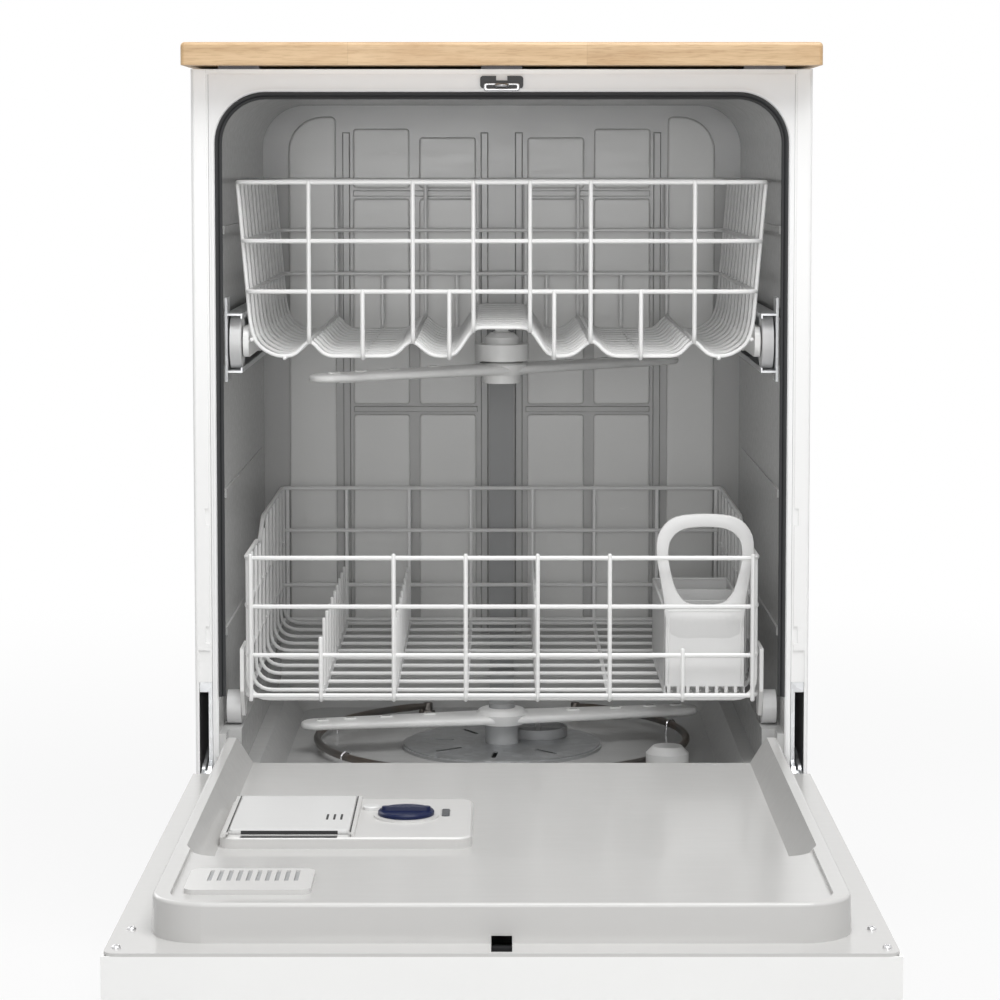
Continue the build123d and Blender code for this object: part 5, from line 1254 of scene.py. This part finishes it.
@dataclass
class TubFittings:
    """What is fixed in and round the tub: the seal, the heater, the strike and the wall's fields.

    Args:
        half: half of the mouth's width.
        ceiling: the mouth's top.
        seal_foot: where the seal ends on both sides.
        corner: the mouth's corner radius.
        wall: the back wall's depth.
        proud: how far the fields stand out of it.
        shoulders: the outer fields' width, height and corner radius.
        inner: the inner fields' widths and heights, on one side.
        ring: the heater's radius.
        ring_y: its middle's depth.
        ring_level: its height.
        ring_ends: the angles at which the heater's ends turn down.
        clip_turns: the angles of its clips.
    """

    half: float = 277.4
    ceiling: float = 868.4
    seal_foot: float = 276.0
    corner: float = 47.6
    wall: float = 262.2
    proud: float = 4.2
    shoulders: tuple[Span, Span, float] = ((193, 248), (262, 856), 40)
    inner: tuple[tuple[Span, Span], ...] = (
        ((107.5, 173), (773, 842)), ((30, 96), (773, 832)), ((107.5, 173), (521, 761)),
        ((30, 96), (521, 761)), ((107.5, 173), (262, 509)), ((30, 96), (262, 509)),
    )
    ring: float = 200.0
    ring_y: float = -15.0
    ring_level: float = 181.0
    ring_ends: Span = (115.0, 65.0)
    clip_turns: tuple[float, ...] = (160.0, 215.0, 325.0, 20.0)

    def seal(self) -> None:
        """The seal: two ridges, their profile carried up a side, over the top and down the other.

        Ring point = line + across inwards + depth along Y, so the profile stays square to the line.
        """
        x, z, c = self.half, self.ceiling, self.corner
        t = np.linspace(0, pi / 2, 13)[1:-1]
        left = np.stack([-x + c - c * np.cos(t), 0 * t, z - c + c * np.sin(t)], -1)
        start = [(-x, 0, self.seal_foot), (-x, 0, z - c)]
        line = np.concatenate([start, left, [(c - x, 0, z)]])
        line = np.concatenate([line, (line * [-1, 1, 1])[::-1]])
        ahead = unit(np.gradient(line, axis=0))
        inwards = np.stack([ahead[:, 2], 0 * ahead[:, 0], -ahead[:, 0]], -1)
        profile = np.array([
            (-2.4, -292.5), (3.0, -292.5), (3.2, -295.0), (3.6, -296.6), (4.5, -297.6),
            (4.75, -299.0), (4.3, -300.3), (3.2, -301.0), (2.1, -300.6), (1.5, -299.6),
            (0.7, -301.4), (-0.8, -302.4), (-1.9, -302.1), (-2.4, -300.6), (-2.45, -297.0),
        ])
        depth = np.stack([0 * profile[:, 1], profile[:, 1], 0 * profile[:, 1]], -1)
        rings = line[:, None] + profile[None, :, :1] * inwards[:, None] + depth[None]
        strip = bar((-262, 262), (-301.8, -299.8), (186.2, 195), 0.8)
        build("door_seal", [loft(rings), strip], SEAL, "cabinet", ["door_gasket"])

    def heater(self) -> None:
        """The heater: one bent rod, a ring with both ends turned down into nuts, on four clips."""
        begin, end = self.ring_ends
        angle = np.radians(np.linspace(begin + 2, end + 358, 81))
        ring = np.stack([self.ring * np.cos(angle), self.ring * np.sin(angle) + self.ring_y], -1)
        ring = np.insert(ring, 2, self.ring_level, axis=1)
        ends = [ring[:1] + [[-1.0, 1.6, -11.0]], ring[-1:] + [[1.0, 1.6, -11.0]]]
        shells = [tube(np.concatenate([ends[0], ring, ends[1]]), 4.0, 12)]
        nut = [(3, 168), (8, 168), (8, 173), (7.4, 174), (5.2, 174.4), (5.2, 182), (4.1, 183)]
        for at in self.ring_ends:
            x, y = self.ring * cos(radians(at)), self.ring * sin(radians(at)) + self.ring_y
            shells.append(lathe(nut, (x, y, 2.0), 6))
        build("heater_rod", shells, HEATER, "cabinet", ["heater_loop"], 45)
        hoop = [(5.2 * cos(t), 5.2 * sin(t)) for t in np.linspace(-0.3, pi + 0.3, 12)]
        line = [(self.ring + u, self.ring_y, self.ring_level + v) for u, v in hoop]
        line = [(self.ring + 6, self.ring_y, 170.2), *line, (self.ring - 6, self.ring_y, 170.2)]
        clip, middle = tube(line, 1.1, 6), (0.0, self.ring_y)
        clips = [clip.turned(at, middle) for at in self.clip_turns]
        build("heater_clips", clips, BRIGHT, "cabinet")

    def strike(self) -> None:
        """The strike: a bright wire loop, and a narrow bright frame round its foot."""
        loop = [(-5.2, -301, 877), (-5.2, -317, 877), (5.2, -317, 877), (5.2, -301, 877)]
        shells = [tube(rounded(loop, 4.6), 1.8, 12)]
        outer = panel((-17.5, 17.5), (871.8, 879.6), 2.2)
        inner = panel((-14.6, 14.6), (874.4, 877.4), 1.2)
        shells.append(ring_plate(outer(0.0), inner(0.0), -302.95, -301.4, 0.5))
        build("strike_loop", shells, STRIKE, "cabinet", ["latch_strike"], 45)

    def fields(self) -> None:
        """The back wall's raised fields: two tall ones with a round shoulder, and inner ones, in a
        lighter copy of the tub's plastic as painted light.
        """
        shells = []
        near, far = self.wall - self.proud, self.wall
        (low, high), up, shoulder = self.shoulders
        for s in SIDES:
            radii = (6, 6, shoulder, 6) if s > 0 else (6, 6, 6, shoulder)
            tall = panel(sorted((s * low, s * high)), up, radii, 8)
            shells.append(slab(tall, near, far, Facing.FRONT, 2.0))
            for (a, b), level in self.inner:
                small = panel(sorted((s * a, s * b)), level, 4)
                shells.append(slab(small, near + 0.6, far, Facing.FRONT, 1.7))
        build("tub_wall_fields", shells, PAINTED_LIGHT_FIELD, "cabinet")

    def bead(self) -> None:
        """The mouth's bead, a ridge moulded just behind the seal, on nearly the same line."""
        x, z, c, y = self.half - 0.7, self.ceiling - 0.7, self.corner, -287.5
        t = np.linspace(0, pi / 2, 13)
        left = np.stack([-x + c - c * np.cos(t), y + 0 * t, z - c + c * np.sin(t)], -1)
        left = np.concatenate([[(-x, y, self.seal_foot + 6)], left])
        line = np.concatenate([left, (left * [-1, 1, 1])[::-1]])
        build("mouth_bead", [tube(line, 2.1)], TUB, "cabinet")

    def make(self) -> None:
        """Builds and dresses the fittings."""
        self.seal()
        self.bead()
        self.heater()
        self.strike()
        self.fields()


@dataclass
class DoorTrim:
    """The dispenser's sliding lid, dark plates that paint the shade in its hollows and gaps and in
    the grille's slots, and the level window.

    Args:
        cup: the middle of the detergent lid.
        lid: the lid's underside and top.
        grips: how far right of the middle its three slits are.
        mouth: the depth of the gap in front of the lid.
        vent: the middle of the grille's row of slots.
        vent_floor: the level of the floor of the slots.
        vents: how many slots there are.
        pitch: how far apart they are.
        window: the middle of the level window.
    """

    cup: Span = (-184.0, -600.0)
    lid: Span = (222.3, 226.3)
    grips: tuple[float, ...] = (30.3, 36.5, 42.7)
    mouth: Span = (-679.4, -672.4)
    vent: Span = (-196.5, -883.0)
    vent_floor: float = 235.2
    vents: int = 10
    pitch: float = 7.6
    window: Span = (-50.0, -582.5)

    def make(self) -> None:
        """Builds and dresses the trim of the lid, of the grille and of the window, with painted
        shade in the lid's hollows and gaps and in the grille's slots.
        """
        (x, y), (low, top) = self.cup, self.lid
        plate = slab(panel((x - 52, x + 52), (y - 69, y + 69), 3.0), low, top, Facing.UP, 0.7)
        tongue = panel((x - 54, x + 54), (y - 68.4, y + 68.4), 0.6, 2)
        tongues = slab(tongue, low, low + 1.9, Facing.UP, 0.3)
        build("lid_plate", [plate, tongues], PALE, "detergent_lid", ["dispenser_lid"])
        # Dark plates under the lid's front edge and in its three grip slits: painted shade in those
        # hollows.
        edge = panel((x - 42, x + 42), (low + 0.2, low + 3.0), 0.4, 2)
        hollows = [slab(edge, y - 69.3, y - 68.6, Facing.FRONT, 0.2)]
        for k in self.grips:
            grip = panel((x + k - 1, x + k + 1), (y - 30, y - 8), 0.9, 3)
            hollows.append(slab(grip, top - 0.8, top + 0.06, Facing.UP, 0.05))
        build("lid_hollow_shade", hollows, PAINTED_SHADE, "detergent_lid")
        # Dark plates in the finger gap ahead of the lid and along both guides: painted shadow in the
        # gaps.
        gaps = [slab(panel((x - 41.6, x + 41.6), self.mouth, 0.5, 1), 218.0, 221.4, Facing.UP, 0.3)]
        for s in SIDES:
            across = (x + s * 53.2 - 0.6, x + s * 53.2 + 0.6)
            gaps.append(bar(across, (-678, -532), (225.8, 226.25), 0.15))
        build("lid_gap_shade", gaps, PAINTED_SHADE, "door")
        # Mid-grey plates at the floor of the grille's slots: painted shade in the slots.
        (x, y), low = self.vent, self.vent_floor - 0.1
        slots = [x + (k - (self.vents - 1) / 2) * self.pitch for k in range(self.vents)]
        slots = [panel((v - 1.6, v + 1.6), (y - 16.8, y + 16.8), 0.3, 1) for v in slots]
        vents = [slab(slot, low, low + 1.8, Facing.UP, 0.2) for slot in slots]
        build("vent_slot_shade", vents, MID, "door")
        x, y = self.window
        pane = panel((x - 3.4, x + 3.4), (y - 14.5, y + 14.5), 1.5)
        lens = slab(pane, 221.2, 222.5, Facing.UP, 0.5)
        build("level_window", [lens], LENS, "door")


@dataclass
class ColumnReturns:
    """The folded returns behind the front columns, which close the seams beside the tub's frame.

    Args:
        across: from beside the frame to the panel's bend.
        depth: from just behind the column's face.
        height: from the hinge's cut-out to the top.
    """

    across: Span = (285.9, 301.4)
    depth: Span = (-298.7, -297.4)
    height: Span = (290.0, 891.0)

    def make(self) -> None:
        """Builds and dresses both returns."""
        right = slab(panel(self.across, self.height, 1.0, 2), *self.depth, Facing.FRONT, 0.4)
        build("column_returns", [right, right.mirrored()], ENAMEL, "cabinet")


@dataclass
class Fasteners:
    """Visible screws: on the corners of the door's flange and round the back panel.

    Args:
        flange_top: the flange's level.
        flange: how far out and how deep its screws are.
        back: the back panel's depth.
        rows: the heights of its top and bottom rows.
        row: how far across those rows' screws are.
        edge: how far out the screws of its sides are.
        sides: their heights.
        radii: the radius of the flange's heads and of the back's.
    """

    flange_top: float = 207.0
    flange: tuple[Span, ...] = ((288.0, -931.0), (293.0, -986.0))
    back: float = 300.0
    rows: Span = (64.0, 882.0)
    row: tuple[float, ...] = (-286.0, -140.0, 0.0, 140.0, 286.0)
    edge: float = 286
    sides: tuple[float, ...] = (260, 480, 690)
    radii: Span = (3.6, 4.0)

    def make(self) -> None:
        """Builds and dresses the screws of the door and of the cabinet."""
        small, large = self.radii
        seats = [(s * x, y, self.flange_top) for x, y in self.flange for s in SIDES]
        door = [screw(seat, Facing.UP, small) for seat in seats]
        build("flange_screws", door, SCREW, "door", angle=50)
        seats = [(x, self.back, z) for x in self.row for z in self.rows]
        seats += [(s * self.edge, self.back, z) for s in SIDES for z in self.sides]
        rows = [screw(seat, Facing.FRONT, large) for seat in seats]
        build("back_screws", rows, SCREW, "cabinet", angle=50)


@dataclass(frozen=True)
class Lamp:
    """One soft square lamp.

    Args:
        name: what it is called.
        place: where it hangs, in metres.
        aim: the point that it faces.
        size: its side, in metres.
        power: its power, in watts.
    """

    name: str
    place: tuple[float, float, float]
    aim: tuple[float, float, float]
    size: float
    power: float

    def hang(self) -> None:
        """Makes the lamp and turns it to its aim."""
        light = bpy.data.lights.new(self.name, "AREA")
        light.shape, light.size, light.energy = "SQUARE", self.size, self.power
        hung = bpy.data.objects.new(self.name, light)
        hung.location = self.place
        away = Vector(self.place) - Vector(self.aim)
        hung.rotation_euler = away.to_track_quat("Z", "Y").to_euler()
        bpy.context.scene.collection.objects.link(hung)


@dataclass
class Studio:
    """The pale floor, the soft light and the camera at the photograph's angle.

    Args:
        place: where the camera stands, in metres.
        pitch: how far it looks down, in degrees.
        focal: its focal length in pixels of a picture 1000 wide.
        centre: where its axis meets that picture.
        picture: the picture's width in pixels.
        sensor: the sensor's width in millimetres.
        ambient: the room's light on the object, where 1 is white.
        lamps: what hangs in the room.
        half_floor: half of the floor's side, in metres.
        tiles: the faces along its side.
        cover: from where to where, out from the middle, the object stops standing over the floor.
        fade: from where to where the floor turns as white as the room.
        near_white: how white the camera sees the floor near the object.
    """

    place: tuple[float, float, float] = (0.0, -3.195, 0.800)
    pitch: float = 4.5
    focal: float = 2959.8
    centre: Span = (501.7, 398.0)
    picture: float = 1000
    sensor: float = 36.0
    ambient: float = 0.36
    lamps: tuple[Lamp, ...] = (
        Lamp("key", (0.5, -1.8, 3.6), (0.0, -0.6, 0.2), 2.2, 110.0),
        Lamp("front", (-0.1, -4.6, 1.0), (0.0, 0.0, 0.6), 1.2, 32.0),
        Lamp("fill", (-2.4, 2.4, 2.4), (0.0, 0.0, 0.5), 2.4, 40.0),
    )
    half_floor: float = 9
    tiles: int = 18
    cover: Span = (0.26, 0.34)
    fade: Span = (0.8, 2.4)
    near_white: float = 0.86

    def camera(self) -> None:
        """The camera: lens / sensor = focal / picture, and its shift is the centre's offset."""
        lens, middle = bpy.data.cameras.new("camera"), self.picture / 2
        lens.sensor_fit, lens.sensor_width = "HORIZONTAL", self.sensor
        lens.lens = self.focal * self.sensor / self.picture
        lens.shift_x = (middle - self.centre[0]) / self.picture
        lens.shift_y = (self.centre[1] - middle) / self.picture
        lens.clip_start, lens.clip_end = 0.05, 60
        seen = bpy.data.objects.new("camera", lens)
        seen.location = self.place
        seen.rotation_euler = (radians(90 - self.pitch), 0, 0)
        bpy.context.scene.collection.objects.link(seen)
        bpy.context.scene.camera = seen

    def world(self) -> None:
        """An even white room: plain light on the object, white where it is seen or mirrored."""
        room = Shade(bpy.data.worlds.new("room"))
        bpy.context.scene.world = room.owner
        rays = room.node("ShaderNodeLightPath").outputs
        seen = Field(room, rays["Is Camera Ray"])
        for ray in ("Is Glossy Ray", "Is Transmission Ray"):
            seen = seen.largest(Field(room, rays[ray]))
        walls = [{"Color": (1, 1, 1, 1), "Strength": power} for power in (self.ambient, 1.0)]
        lit, white = (room.node("ShaderNodeBackground", None, wall).outputs[0] for wall in walls)
        mixed = room.node("ShaderNodeMixShader", None, {0: seen, 1: lit, 2: white})
        room.node("ShaderNodeOutputWorld", None, {"Surface": mixed.outputs[0]})

    def floor(self) -> None:
        """The floor: a wide sheet that keeps the object's shadow and fades into the white room.

        Its points are a square grid half a millimetre down, and each face joins four neighbours.
        """
        lines = self.tiles + 1
        side = np.linspace(-self.half_floor, self.half_floor, lines)
        x, y = np.meshgrid(side, side, indexing="ij")
        rings = np.stack([x, y, 0 * x - 0.0005], -1)
        i, j = np.meshgrid(np.arange(self.tiles), np.arange(self.tiles), indexing="ij")
        first = (i * lines + j).ravel()
        faces = np.stack([first, first + lines, first + lines + 1, first + 1], -1)
        mesh = bpy.data.meshes.new("floor")
        mesh.from_pydata(rings.reshape(-1, 3).tolist(), [], faces.tolist())
        sheet = bpy.data.objects.new("floor", mesh)
        bpy.context.scene.collection.objects.link(sheet)
        shade = Shade(bpy.data.materials.new("floor_paper"))
        spot = shade.node("ShaderNodeTexCoord").outputs["Object"]
        far, away = (
            shade.node("ShaderNodeVectorMath", {"operation": operation}, {0: spot}).outputs[output]
            for operation, output in (("LENGTH", "Value"), ("ABSOLUTE", "Vector"))
        )
        apart = shade.node("ShaderNodeSeparateXYZ", None, {0: away})
        beside, ahead = (Field(shade, apart.outputs[k]).above(*self.cover) for k in (0, 1))
        seen = Field(shade, shade.node("ShaderNodeLightPath").outputs["Is Camera Ray"])
        open_floor = 1.0 - (1.0 - beside) * (1.0 - ahead)
        whiter = Field(shade, far).above(*self.fade) * (1 - self.near_white)
        white = seen * open_floor * (self.near_white + whiter)
        tone = shade.mix(shade.noise(260.0), (0.7, 0.7, 0.7), (0.73, 0.73, 0.73))
        paper = shade.node("ShaderNodeBsdfDiffuse", None, {"Color": tone}).outputs[0]
        glow = {"Color": (1, 1, 1, 1), "Strength": 1.0}
        glow = shade.node("ShaderNodeEmission", None, glow).outputs[0]
        mixed = shade.node("ShaderNodeMixShader", None, {0: white, 1: paper, 2: glow})
        shade.node("ShaderNodeOutputMaterial", None, {"Surface": mixed.outputs[0]})
        mesh.materials.append(shade.owner)

    def make(self) -> None:
        """Sets up the room, the lamps and the camera."""
        bpy.context.scene.view_settings.view_transform = "Standard"
        self.world()
        self.floor()
        for lamp in self.lamps:
            lamp.hang()
        self.camera()


def dress_nodes() -> None:
    """Gives every node of the construction that still shows its finish."""
    for finish, nodes in WEARS.items():
        for name in nodes:
            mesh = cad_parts[name].data
            mesh.materials.clear()
            mesh.materials.append(finish.material())
        LOG.info("%s: %s", finish.name, ", ".join(nodes))


def main() -> None:
    """Builds the assemblies in order, from the racks to the room."""
    logging.basicConfig(level=logging.INFO, format="%(name)s %(message)s")
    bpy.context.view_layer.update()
    dress_nodes()
    UpperRack().make()
    LowerRack().make()
    SilverwareBasket().make()
    UPPER_ARM.make()
    LOWER_ARM.make()
    TubFittings().make()
    DoorTrim().make()
    ColumnReturns().make()
    Fasteners().make()
    Studio().make()


if __name__ == "__main__":
    main()
